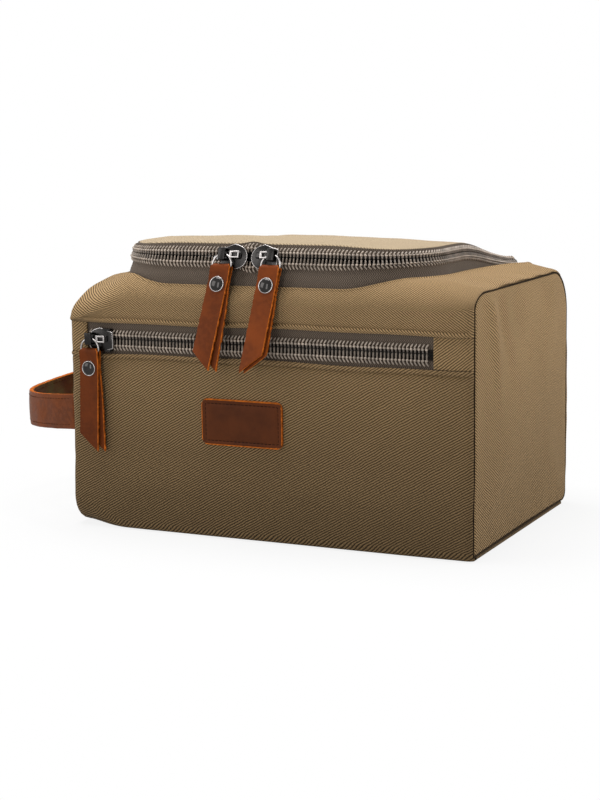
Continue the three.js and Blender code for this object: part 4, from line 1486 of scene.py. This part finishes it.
class KITBAG_OT_teeth(bpy.types.Operator):
    """Coils of both zips with the thread that sews them down"""
    bl_idname = "kitbag.teeth"
    bl_label = "Zip teeth"

    def execute(self, context):
        coil = coil_material("Zip coil", 1.0, 0.34)
        dim = coil_material("Zip coil in shade", 0.5, 0.5)
        thread = coil_material("Chain thread", 1.45, 0.4)
        main_teeth = int(zip_length() / PITCH) - 1
        # Each row: its zip and half, place along it, side, teeth, body, finish, and where its bars start
        rows = (
            ("main", "lower", main_row, -1, main_teeth, "bag", coil, -0.5),
            ("main", "upper", main_row, 1, main_teeth, "lid", coil, 0.75),
            ("pocket", "lower", pocket_row, -1, POCKET_TEETH, "bag", coil, -0.8),
            ("pocket", "upper", pocket_row, 1, POCKET_TEETH, "bag", dim, 1.0),
        )
        end = 3.0
        for kind, word, row, sign, count, body, finish_material, start in rows:
            bar = pip((end - start) / 2, 0.58, 0.62, 0.35, (0, (start + end) / 2, 1.35), 0.25)
            teeth = copies(f"{kind}_coil_{word}", bar, row_places(count, row, sign))
            outwards(teeth)
            finish(teeth, body, [finish_material], [f"{kind}_zip_{word}_teeth"], angle=60)
            self.chain(f"{kind}_chain_{word}", count, row, sign, body, thread)
        return {"FINISHED"}

    def chain(self, name, count, row, sign, body, thread):
        """Links along the coil's root and the slanting strands that reach from them over the tape."""
        link = pip(0.72, 1.0, 0.6, 0.75)
        links = copies(f"{name}_links", link, row_places(count, row, sign, 0.0, LINK_UP, LINK_OUT))
        strand = pip(1.75, 0.5, 0.45, 0.6, bend=0.3)
        strands = copies(f"{name}_strands", strand,
                         row_places(count, row, sign, sign * STRAND_SLANT, STRAND_UP, STRAND_OUT))
        piece = together(name, [links, strands])
        outwards(piece)
        finish(piece, body, [thread], angle=80)


# Each slider: its place and tilt, the ways that its nose and its ring lie, and the sides with a flange
SLIDERS = {
    "left": {"place": (-19.5, ZIP_FRONT, ZIP_HEIGHT), "tilt": TILT, "nose": 1, "ring": -1, "flanges": (-1,)},
    "right": {"place": (0.1, ZIP_FRONT, ZIP_HEIGHT), "tilt": TILT, "nose": -1, "ring": 1, "flanges": (-1,)},
    "pocket": {"place": (-107.3, POCKET_FACE, POCKET_LINE), "tilt": 0.0, "nose": -1, "ring": -1,
               "flanges": (-1, 1)},
}

# Place of a ring's top in its slider, and how far below it the pull turns round the ring's foot
RING_ACROSS, RING_OUT, RING_UP, RING_DROP = 6.0, -6.4, 1.0, -7.8


def slider_frame(name):
    """Places a slider, with x along and z across its zip."""
    given = SLIDERS[name]
    return shifted(*given["place"]) @ Matrix.Rotation(-given["tilt"], 4, "X")


def ring_frame(name):
    return slider_frame(name) @ shifted(SLIDERS[name]["ring"] * RING_ACROSS, RING_OUT, RING_UP)


def pull_frame(name):
    return ring_frame(name) @ shifted(0, 0, RING_DROP)


def shield(nose, inset=0.0):
    """Outline of a slider's plate, with a narrow tail, a peak across the middle and a round nose."""
    tip, radius = 8.5 - inset, 7.0 - inset
    half = [(-8.5 + inset, 5.0 - inset), (-4.6, 6.0 - inset), (0.2, 7.7 - inset)]
    points = [(x, -z) for x, z in half]
    for step in range(15):
        angle = math.radians(mix(-78, 78, step / 14))
        points.append((tip - radius + radius * math.cos(angle), radius * math.sin(angle)))
    points += half[::-1]
    points = [(x * nose, z) for x, z in points]
    return points if nose > 0 else points[::-1]


def plate(outline, near, far):
    """A flat plate from an outline across the zip, between two distances in front of the tape."""
    deselect()
    bpy.ops.mesh.primitive_circle_add(vertices=len(outline), radius=1 * MM, fill_type="NGON")
    piece = bpy.context.object
    for vertex, (x, z) in zip(piece.data.vertices, outline):
        vertex.co = Vector((x, -near, z)) * MM
    edit(piece, bpy.ops.mesh.extrude_region_move,
         TRANSFORM_OT_translate={"value": (0, (near - far) * MM, 0)})
    return outwards(piece)


def block(low, high, bevel=0.25, segments=2):
    """A softened block between two corners, in millimetres."""
    deselect()
    middle = [(a + b) / 2 * MM for a, b in zip(low, high)]
    bpy.ops.mesh.primitive_cube_add(size=1, location=middle)
    piece = bpy.context.object
    piece.scale = [(b - a) * MM for a, b in zip(low, high)]
    settle(piece)
    return modify(piece, "BEVEL", width=bevel * MM, segments=segments, limit_method="ANGLE")


def slider_plates(given):
    """Plates, wedge and flanges of a slider: parts dark with painted shade, then ones bright with painted
    highlight.
    """
    nose = given["nose"]
    front = soften(plate(shield(nose, 0.35), 2.5, 3.95), 0.2)
    back = soften(plate(shield(nose), -2.7, -1.2), 0.4)
    rim = soften(plate(shield(nose), 2.5, 3.7), 0.3, 3)
    wedge = sorted((nose * 7.0, nose * 2.0))
    dark = [front, back, block((wedge[0], -3.8, -0.7), (wedge[1], 2.4, 0.7), 0.2)]
    for sign in given["flanges"]:
        z = sorted((sign * 5.7, sign * 6.9))
        x = -nose * 2.25
        dark.append(block((x - 4.5, -3.9, z[0]), (x + 4.5, -0.3, z[1]), 0.3))
    return dark, [rim]


def slider_bridge(given):
    """The raised bar, the loop at one end that holds the ring, and the bright cap with its window, a painted
    highlight.
    """
    ring = given["ring"]
    x = ring * RING_ACROSS
    bottom, top = -2.6, 4.6
    loop = [block((x - 2.2, -8.6, low), (x + 2.2, -3.6, high), 0.35, 3)
            for low, high in ((bottom, -1.5), (3.5, top))]
    loop.append(block((x - 2.3, -8.9, bottom), (x + 2.3, -7.75, top), 0.45, 3))
    # The bar reaches a head under the loop and a tail that slopes down to the plate
    head, tail, slope = 4.2, 5.2, 1.2
    span = sorted((ring * head, -ring * tail))
    bar = block((span[0], -6.4, -0.9), (span[1], -3.7, 2.9), 0.8, 4)
    for vertex in bar.data.vertices:
        share = (vertex.co.x / MM * ring + tail) / (head + tail)
        if vertex.co.y < -4.5 * MM:
            vertex.co.y += (1 - share) * slope * MM
    # The cap, a painted highlight that stands at the same end of every slider, has its window framed by four
    # blocks, each given by its sides and its bottom and top
    left, right = -1.6, 4.6
    window = ((left, right, 2.0, 3.1), (left, right, -1.2, -0.2), (left, left + 1.6, -1.0, 2.9),
              (right - 1.0, right, -1.0, 2.9))
    cap = [block((start, -7.2, low), (end, -5.6, high), 0.35, 3) for start, end, low, high in window]
    return [bar] + loop, cap


def ring_curve():
    """The ring's wire in its own frame: a round top and a straight foot."""
    half = RING_STRAIGHT / 2
    radius = half + RING_CORNER
    points = []
    for centre, size, start, end, steps in ((-half, RING_CORNER, 2, 3, 6), (half, RING_CORNER, 3, 4, 6),
                                            (0.0, radius, 0, 2, 28)):
        for step in range(steps + 1):
            angle = mix(start, end, step / steps) * math.pi / 2
            points.append(Vector((centre + size * math.cos(angle), 0, size * math.sin(angle) - radius)))
    return [point for index, point in enumerate(points) if (point - points[index - 1]).length > 0.05]


def wire_ring(name):
    """A closed wire along the ring's line."""
    path = ring_curve()
    count = len(path)
    depth = Vector((0, 1, 0))

    def place(a, b):
        index = int(round(a * count)) % count
        along = (path[(index + 1) % count] - path[index - 1]).normalized()
        angle = b * 2 * math.pi
        return path[index] + (along.cross(depth) * math.cos(angle) + depth * math.sin(angle)) * RING_WIRE / 2

    piece = cloth_grid(name, count, 12, place, lambda a, b: (a, b))
    weld(piece)
    return outwards(piece)


class KITBAG_OT_sliders(bpy.types.Operator):
    """Sliders with their bridges and wire rings"""
    bl_idname = "kitbag.sliders"
    bl_label = "Sliders"

    def execute(self, context):
        # One nickel colour in two copies: darkened as painted shade for the bodies, brightened as painted
        # highlight for the rims, caps and rings
        dark = metal_material("Nickel in painted shade", 0.13, 0.22)
        bright = metal_material("Nickel in painted highlight", 1.9)
        for name, given in SLIDERS.items():
            dim_plates, bright_plates = slider_plates(given)
            dim_bridge, bright_bridge = slider_bridge(given)
            body = together(f"slider_{name}_body", dim_plates + dim_bridge)
            body.data.transform(slider_frame(name))
            finish(body, f"{name}_slider", [dark], [f"{name}_slider"], 35)
            trim = together(f"slider_{name}_trim", bright_plates + bright_bridge)
            trim.data.transform(slider_frame(name))
            finish(trim, f"{name}_slider", [bright], angle=35)
            ring = wire_ring(f"ring_{name}")
            ring.data.transform(ring_frame(name))
            finish(ring, f"{name}_ring", [bright], [f"{name}_ring"], 80)
        return {"FINISHED"}


# Pulls. Lean of the front and rear layers, the side that the tip is on, the rear layer's shift, how
# light the leather is, and where its ragged edge starts
PULLS = {
    "left": {"lean": 0.125, "rear": 0.085, "tip": 1, "shift": 1.5, "gain": 1.0, "seed": 3},
    "right": {"lean": 0.105, "rear": 0.09, "tip": -1, "shift": 0.9, "gain": 1.2, "seed": 8},
    "pocket": {"lean": 0.03, "rear": -0.01, "tip": 1, "shift": 1.2, "gain": 0.8, "seed": 14},
}

# A pull's long and short sides, half its width, and half its width in the fold. Then the fold's radius
# and the shares of the strip between which it turns, and how far below the fold the rivet sits
PULL_LONG, PULL_SHORT, PULL_HALF, PULL_NECK = 61.0, 50.0, 6.35, 5.1
FOLD_RADIUS, FOLD_START, FOLD_END = 1.55, 0.46, 0.54
RIVET_DROP = 10.2


class KITBAG_OT_pulls(bpy.types.Operator):
    """Folded leather pulls with ragged raw edges and domed rivets"""
    bl_idname = "kitbag.pulls"
    bl_label = "Leather pulls"

    def execute(self, context):
        look = context.scene.kit_leather
        raw = raw_edge_material()
        for name, given in PULLS.items():
            tone = [value * given["gain"] for value in look.pull]
            hide = leather_material(f"Pull leather {name}", tone)
            # The strip's faces across it, and its width and length for the weave
            columns, width, length = 26, 13, 122
            piece = cloth_grid(f"pull_{name}", 190, columns,
                               lambda a, b, given=given: self.layer(a, b, given),
                               lambda a, b, width=width, length=length: (b * width, a * length))
            places = piece.data.uv_layers[0].data
            for face in piece.data.polygons:
                across = sum(places[index].uv.x for index in face.loop_indices) / 4 / width
                face.material_index = 1 if across > 1 - 1 / columns else 0
            self.front_outwards(piece)
            cut_leather(piece, 1.1, hide, raw, 0)
            piece.data.transform(pull_frame(name))
            finish(piece, f"{name}_pull", nodes=[f"{name}_pull"], angle=50)
            self.rivet(name)
        return {"FINISHED"}

    def layer(self, a, b, given):
        """a runs from the front tip up over the ring's foot and down to the rear tip."""
        splay = bpy.context.scene.kit_leather.splay / MM
        v = b * 2 - 1
        if FOLD_START < a < FOLD_END:
            angle = math.pi * (a - FOLD_START) / (FOLD_END - FOLD_START)
            half = mix(PULL_HALF, PULL_NECK, ease(0.1, 0.85, math.sin(angle)))
            return Vector((v * half, -FOLD_RADIUS * math.cos(angle), FOLD_RADIUS * math.sin(angle)))
        front = a <= FOLD_START
        share = a / FOLD_START if front else (1 - a) / FOLD_START
        down = mix(PULL_SHORT, PULL_LONG, (v * given["tip"] + 1) / 2) * (1 - share)
        gap = mix(FOLD_RADIUS, 0.72, ease(0, 9, down))
        tip = ease(16, 60, down)
        if front:
            x = v * PULL_HALF - given["lean"] * down
            y = -gap - 0.4 * tip * splay + 0.3 * v * v * tip
        else:
            x = v * PULL_HALF - given["rear"] * down + given["shift"] * ease(4, 30, down)
            y = gap + tip * splay * 0.3
        if abs(v) > 0.99 and down > 3:
            x += (0.5 if front else 0.65) * ripple(0, down, given["seed"], 1.3)
        y += 0.12 * ripple(x, y, down, 12, given["seed"])
        return Vector((x, y, -down))

    def front_outwards(self, piece):
        """Turns a folded strip so that its front faces the front."""
        total = sum(face.normal.y for face in piece.data.polygons if face.center.y < 0)
        if total > 0:
            edit(piece, bpy.ops.mesh.flip_normals)

    def rivet(self, name):
        """Domed cap, darkened with painted shade, with a collar in front and a washer behind, both bright
        with painted highlight.
        """
        dark = metal_material("Rivet dome", 0.18, 0.04)
        bright = metal_material("Rivet collar", 1.9)
        across = (math.pi / 2, 0, 0)
        deselect()
        bpy.ops.mesh.primitive_uv_sphere_add(segments=32, ring_count=16, radius=4.25 * MM)
        dome = bpy.context.object
        for vertex in dome.data.vertices:
            vertex.co.y *= 0.42 if vertex.co.y < 0 else 0.12
        self.fit(dome, name, "dome", -1.45, dark, [f"{name}_rivet_cap"], 60)
        deselect()
        bpy.ops.mesh.primitive_torus_add(major_radius=4.3 * MM, minor_radius=0.33 * MM,
                                         major_segments=40, minor_segments=10, rotation=across)
        self.fit(settle(bpy.context.object), name, "collar", -1.75, bright, (), 60)
        deselect()
        bpy.ops.mesh.primitive_cylinder_add(vertices=32, radius=3.4 * MM, depth=0.9 * MM, rotation=across)
        washer = soften(settle(bpy.context.object), 0.3)
        self.fit(washer, name, "back", 1.75, bright, [f"{name}_rivet_back"], 40)

    def fit(self, piece, name, word, depth, finish_material, nodes, angle):
        """Sets a piece of a rivet in its pull, at a depth behind the pull's middle."""
        piece.name = piece.data.name = f"rivet_{name}_{word}"
        x = -PULLS[name]["lean"] * RIVET_DROP
        piece.data.transform(pull_frame(name) @ shifted(x, depth, -RIVET_DROP))
        finish(piece, f"{name}_pull", [finish_material], nodes, angle)


# Patch
class KITBAG_OT_patch(bpy.types.Operator):
    """Blank leather patch on the front, sewn round its edge"""
    bl_idname = "kitbag.patch"
    bl_label = "Leather patch"

    def execute(self, context):
        look = context.scene.kit_leather
        ring = self.outline(0.0)

        def place(a, b):
            point = ring_at(ring, a)
            x, z = (mix(edge, middle, b ** 1.1) for edge, middle in zip(point, PATCH_MIDDLE))
            return x, self.face(x, z), z

        piece = cloth_grid("leather_patch_face", len(ring), 30, place, lambda a, b: (a * 160, b * 14))
        weld(piece)
        facing(piece, (0, -1, 0))
        raw_width = 0.75
        for face in piece.data.polygons:
            away = self.inside(face.center.x / MM, face.center.z / MM)
            face.material_index = 1 if away < raw_width else 0
        cut_leather(piece, 1.7, leather_material("Patch leather", look.patch, 1.2), raw_edge_material())
        soften(piece, 0.3, angle=60)
        finish(piece, "bag", nodes=["leather_patch"], angle=45)
        seam = self.outline(PATCH_SEAM)
        points = [(x, self.face(x, z) - 0.02, z) for x, z in seam + seam[:1]]
        stitch_line("patch_stitches", points, [(0, -1, 0)] * len(points), "bag",
                    thread_and_shade_material("Patch thread", (0.022, 0.008, 0.004)), 2.5, 1.9, 0.3)
        return {"FINISHED"}

    def outline(self, inset, steps=8):
        """Points round the patch at a distance inside its edge."""
        width, height, radius = PATCH_SIZE
        w, h, r = width / 2 - inset, height / 2 - inset, max(0.5, radius - inset)
        points = []
        for cx, cz, start in ((w - r, h - r, 0), (r - w, h - r, 1), (r - w, r - h, 2), (w - r, r - h, 3)):
            for step in range(steps + 1):
                angle = (start + step / steps) * math.pi / 2
                points.append((PATCH_MIDDLE[0] + cx + r * math.cos(angle),
                               PATCH_MIDDLE[1] + cz + r * math.sin(angle)))
        return points

    def inside(self, x, z):
        """How far a place lies inside the patch's edge."""
        return min(PATCH_SIZE[0] / 2 - abs(x - PATCH_MIDDLE[0]), PATCH_SIZE[1] / 2 - abs(z - PATCH_MIDDLE[1]))

    def face(self, x, z):
        """Depth of the patch's face, with the groove that its seam pulls in."""
        away = self.inside(x, z)
        groove = 0.35 * hump(away, PATCH_SEAM, 0.7)
        swell = 0.2 * ease(3, 9, away)
        return FRONT - front_swell(x, z) - 1.3 - swell + groove - 0.1 * ripple(x, 0, z, 9, 4)


# The strap: depth of its ends, its reach, width and thickness, then its height in front and behind, how
# far it droops between, and how square its bow is
STRAP_END, STRAP_REACH, STRAP_WIDTH, STRAP_THICKNESS = 82.5, 70.0, 22.0, 2.9
STRAP_FRONT, STRAP_BACK, STRAP_DROP, STRAP_POWER = 69.0, 78.0, 10.0, 3


class KITBAG_OT_strap(bpy.types.Operator):
    """Leather carrying strap on the left end"""
    bl_idname = "kitbag.strap"
    bl_label = "Carrying strap"

    def execute(self, context):
        look = context.scene.kit_leather
        piece = cloth_grid("strap_leather", 150, 16, self.place, lambda a, b: (a * 230, b * STRAP_WIDTH))
        facing(piece, (-1, 0, 0))
        hide = leather_material("Strap leather", look.strap, 1.6, (0.12, 0.085, 0.03))
        cut_leather(piece, STRAP_THICKNESS, hide, raw_edge_material())
        soften(piece, 0.4, angle=60)
        finish(piece, "bag", nodes=["handle_strap"], angle=45)
        thread = thread_and_shade_material("Strap thread", (0.07, 0.022, 0.008))
        for word, v in (("upper", 0.74), ("lower", -0.74)):
            for face, sign in (("outer", 1), ("inner", -1)):
                points, normals = [], []
                for step in range(90):
                    share = mix(0.97, -0.97, step / 89)
                    out = self.out_at(share)
                    points.append(self.centre(share) + out * (sign * STRAP_THICKNESS / 2 - 0.5 * v * v)
                                  + Vector((0, 0, v * STRAP_WIDTH / 2)))
                    normals.append(out * sign)
                stitch_line(f"strap_stitches_{word}_{face}", points, normals, "bag", thread,
                            3.4, 2.5, 0.33)
        return {"FINISHED"}

    def centre(self, share):
        """Middle of the strap, from its front end at minus one to its back end at one."""
        bow = 1 - abs(share) ** STRAP_POWER
        height = mix(STRAP_FRONT, STRAP_BACK, (share + 1) / 2) - STRAP_DROP * bow
        root = -END_FACE - STRAP_THICKNESS / 2
        return Vector((root - STRAP_REACH * bow, STRAP_END * share, height))

    def out_at(self, share):
        slope = STRAP_POWER * STRAP_REACH * abs(share) ** (STRAP_POWER - 1) * math.copysign(1, share)
        return Vector((-STRAP_END, slope, 0)).normalized()

    def place(self, a, b):
        share = mix(1.0, -1.0, a)
        out = self.out_at(share)
        point = self.centre(share) + out * STRAP_THICKNESS / 2
        v = b * 2 - 1
        uneven = 0.3 * ripple(point.x, point.y, b * 9, 16, 6)
        ragged = 0.15 * ripple(point.x, point.y, 0, 2.0, 9) if abs(v) > 0.99 else 0
        return point - out * (0.5 * v * v - uneven) + Vector((0, 0, v * (STRAP_WIDTH / 2 + ragged)))


# Seams
class KITBAG_OT_seams(bpy.types.Operator):
    """Top stitching along the pocket's hems and tabs, and dark tubes of painted shade along the end seams"""
    bl_idname = "kitbag.seams"
    bl_label = "Stitching and end seams"

    def execute(self, context):
        thread = thread_and_shade_material("Canvas thread", (0.15, 0.1, 0.05))
        half, ahead = 126.0, [(0, -1, 0)]
        lower, upper = [], []
        for step in range(200):
            x = mix(-half, half, step / 199)
            z = LOWER_HEM + hem_bow(x, False) - HEM_GROOVE
            lower.append((x, front_face(x, z), z))
            z = UPPER_HEM + hem_bow(x, True) + HEM_GROOVE
            upper.append((x, upper_face(x, z), z))
        for word, points in (("lower", lower), ("upper", upper)):
            stitch_line(f"hem_stitches_{word}", points, ahead * len(points), "bag", thread,
                        3.0, 2.3, 0.3)
        for word, x in (("left", LEFT_TAB - TAB_SEAM), ("right", RIGHT_TAB + TAB_SEAM)):
            heights = [mix(LOWER_HEM + 1, UPPER_HEM - 1, step / 19) for step in range(20)]
            points = [(x, FRONT + TAB_SETBACK, z) for z in heights]
            stitch_line(f"tab_stitches_{word}", points, ahead * len(points), "bag", thread,
                        2.9, 2.1, 0.28)
        for word, side in SIDES:
            self.end_seam(word, side)
        return {"FINISHED"}

    def end_seam(self, word, side):
        """A dark tube of painted shade along an end panel's seam, sunk between the panel and the wrap."""
        outline = end_outline(side, 2.9)
        count, thick, reach = len(outline), 0.6, 129.8

        def place(a, b):
            index = int(round(a * count)) % count
            along = along_at(outline, index, 1)
            angle = b * 2 * math.pi
            aside = thick * math.cos(angle)
            y, z = outline[index]
            return side * (reach + thick * math.sin(angle)), y - along.y * aside, z + along.x * aside

        piece = cloth_grid(f"end_seam_{word}", count, 6, place, lambda a, b: (a * END_ROUND, b))
        weld(piece)
        outwards(piece)
        finish(piece, "bag", [thread_and_shade_material("End seam painted shade", (0.022, 0.014, 0.007))])


# The camera's own right and up, fitted to the bag's corners in the photograph
CAMERA_RIGHT = (0.90077387, 0.43404386, -0.01457252)
CAMERA_UP = (-0.05652297, 0.15043991, 0.98700202)

# Each lamp: where it stands in metres, its two sides, and its power as a share of the main lamp's
LAMPS = {
    "key": ((-0.25, 0.05, 1.5), (1.0, 1.0), 1.0),
    "fill": ((1.2, 0.45, 0.5), (0.8, 0.8), 0.42),
    "front": ((-0.85, -0.75, 0.5), (0.6, 0.6), 0.13),
    "strip": ((-0.15, -1.25, 0.32), (0.3, 1.0), 0.13),
}
WHITE = (1, 1, 1, 1)


class KITBAG_OT_stage(bpy.types.Operator):
    """Pale floor, soft lamps and the camera at the photograph's angle"""
    bl_idname = "kitbag.stage"
    bl_label = "Stage"

    def execute(self, context):
        scene = context.scene
        scene.view_settings.view_transform = "Standard"
        view = scene.kit_view
        deselect()
        bpy.ops.mesh.primitive_plane_add(size=12, location=(0, 0, -0.0006))
        floor = bpy.context.object
        floor.name = "floor"
        floor.data.materials.append(self.floor_material())
        data = bpy.data.cameras.new("view")
        camera = bpy.data.objects.new("view", data)
        scene.collection.objects.link(camera)
        data.lens = view.lens
        data.sensor_width = 36
        data.clip_start, data.clip_end = 0.05, 40
        right, up = Vector(CAMERA_RIGHT), Vector(CAMERA_UP)
        turn = Matrix((right, up, right.cross(up))).transposed().to_4x4()
        camera.matrix_world = Matrix.Translation(Vector(view.place)) @ turn
        scene.camera = camera
        for name, (place, size, share) in LAMPS.items():
            self.lamp(name, place, size, view.key * share)
        self.sky(scene)
        return {"FINISHED"}

    def lamp(self, name, place, size, power):
        data = bpy.data.lights.new(name, "AREA")
        data.shape = "RECTANGLE"
        data.size, data.size_y = size
        data.energy = power
        lamp = bpy.data.objects.new(name, data)
        bpy.context.scene.collection.objects.link(lamp)
        lamp.location = place
        aim = Vector((0, 0, 0.08)) - Vector(place)
        lamp.rotation_euler = aim.to_track_quat("-Z", "Y").to_euler()

    def seen(self, g):
        """One where a camera, glossy or transmitted ray looks."""
        path = g.node("ShaderNodeLightPath").outputs
        seen = g.math("MAXIMUM", path["Is Camera Ray"], path["Is Glossy Ray"])
        return g.math("MAXIMUM", seen, path["Is Transmission Ray"])

    def floor_material(self):
        """A pale floor that shows the bag's shadow and turns plain white further out."""
        made = bpy.data.materials.new("Pale floor")
        g = emptied(made)
        matt = g.node("ShaderNodeBsdfDiffuse", {"Color": (0.6, 0.6, 0.6, 1)})
        white = g.node("ShaderNodeEmission", {"Color": WHITE, "Strength": 1.0})
        # The bag's shadow shows near the bag and is gone far from it. least is how white the floor is
        # near the bag
        away = g.node("ShaderNodeVectorMath", {0: object_place(g)}, operation="LENGTH").outputs["Value"]
        near, far, least = 0.16, 0.4, 0.86
        share = g.math("MULTIPLY_ADD", g.ramp(away, near, far), 1 - least, least)
        both = g.node("ShaderNodeMixShader", {0: g.math("MULTIPLY", self.seen(g), share),
                                              1: matt.outputs[0], 2: white.outputs[0]})
        g.node("ShaderNodeOutputMaterial", {0: both.outputs[0]})
        return made

    def sky(self, scene):
        """Soft light from all round, and plain white where the room is seen."""
        world = bpy.data.worlds.new("Soft white room")
        g = emptied(world)
        light = g.node("ShaderNodeBackground", {"Color": WHITE, "Strength": 0.3})
        white = g.node("ShaderNodeBackground", {"Color": WHITE, "Strength": 1.0})
        both = g.node("ShaderNodeMixShader", {0: self.seen(g), 1: light.outputs[0], 2: white.outputs[0]})
        g.node("ShaderNodeOutputWorld", {0: both.outputs[0]})
        scene.world = world


class KITBAG_PT_panel(bpy.types.Panel):
    bl_idname = "KITBAG_PT_panel"
    bl_label = "Kit Bag"
    bl_space_type = "VIEW_3D"
    bl_region_type = "UI"
    bl_category = "Kit Bag"

    def draw(self, context):
        for name in GROUPS:
            settings = getattr(context.scene, name)
            box = self.layout.box()
            for title in settings.__annotations__:
                box.prop(settings, title)
        for operator in STEPS:
            self.layout.operator(operator.bl_idname)


GROUPS = {"kit_canvas": KitCanvas, "kit_zip": KitZip, "kit_leather": KitLeather, "kit_metal": KitMetal,
          "kit_view": KitView}
STEPS = (KITBAG_OT_stage, KITBAG_OT_wrap, KITBAG_OT_ends, KITBAG_OT_pocket, KITBAG_OT_lining, KITBAG_OT_lid,
         KITBAG_OT_tapes, KITBAG_OT_teeth, KITBAG_OT_sliders, KITBAG_OT_pulls, KITBAG_OT_patch,
         KITBAG_OT_strap, KITBAG_OT_seams)


def register():
    for kind in (*GROUPS.values(), *STEPS, KITBAG_PT_panel):
        bpy.utils.register_class(kind)
    for name, kind in GROUPS.items():
        setattr(bpy.types.Scene, name, PointerProperty(type=kind))


def unregister():
    for name in GROUPS:
        delattr(bpy.types.Scene, name)
    for kind in reversed((*GROUPS.values(), *STEPS, KITBAG_PT_panel)):
        bpy.utils.unregister_class(kind)


def main():
    register()
    for operator in STEPS:
        family, name = operator.bl_idname.split(".")
        getattr(getattr(bpy.ops, family), name)()
    deselect()


if __name__ == "__main__":
    main()
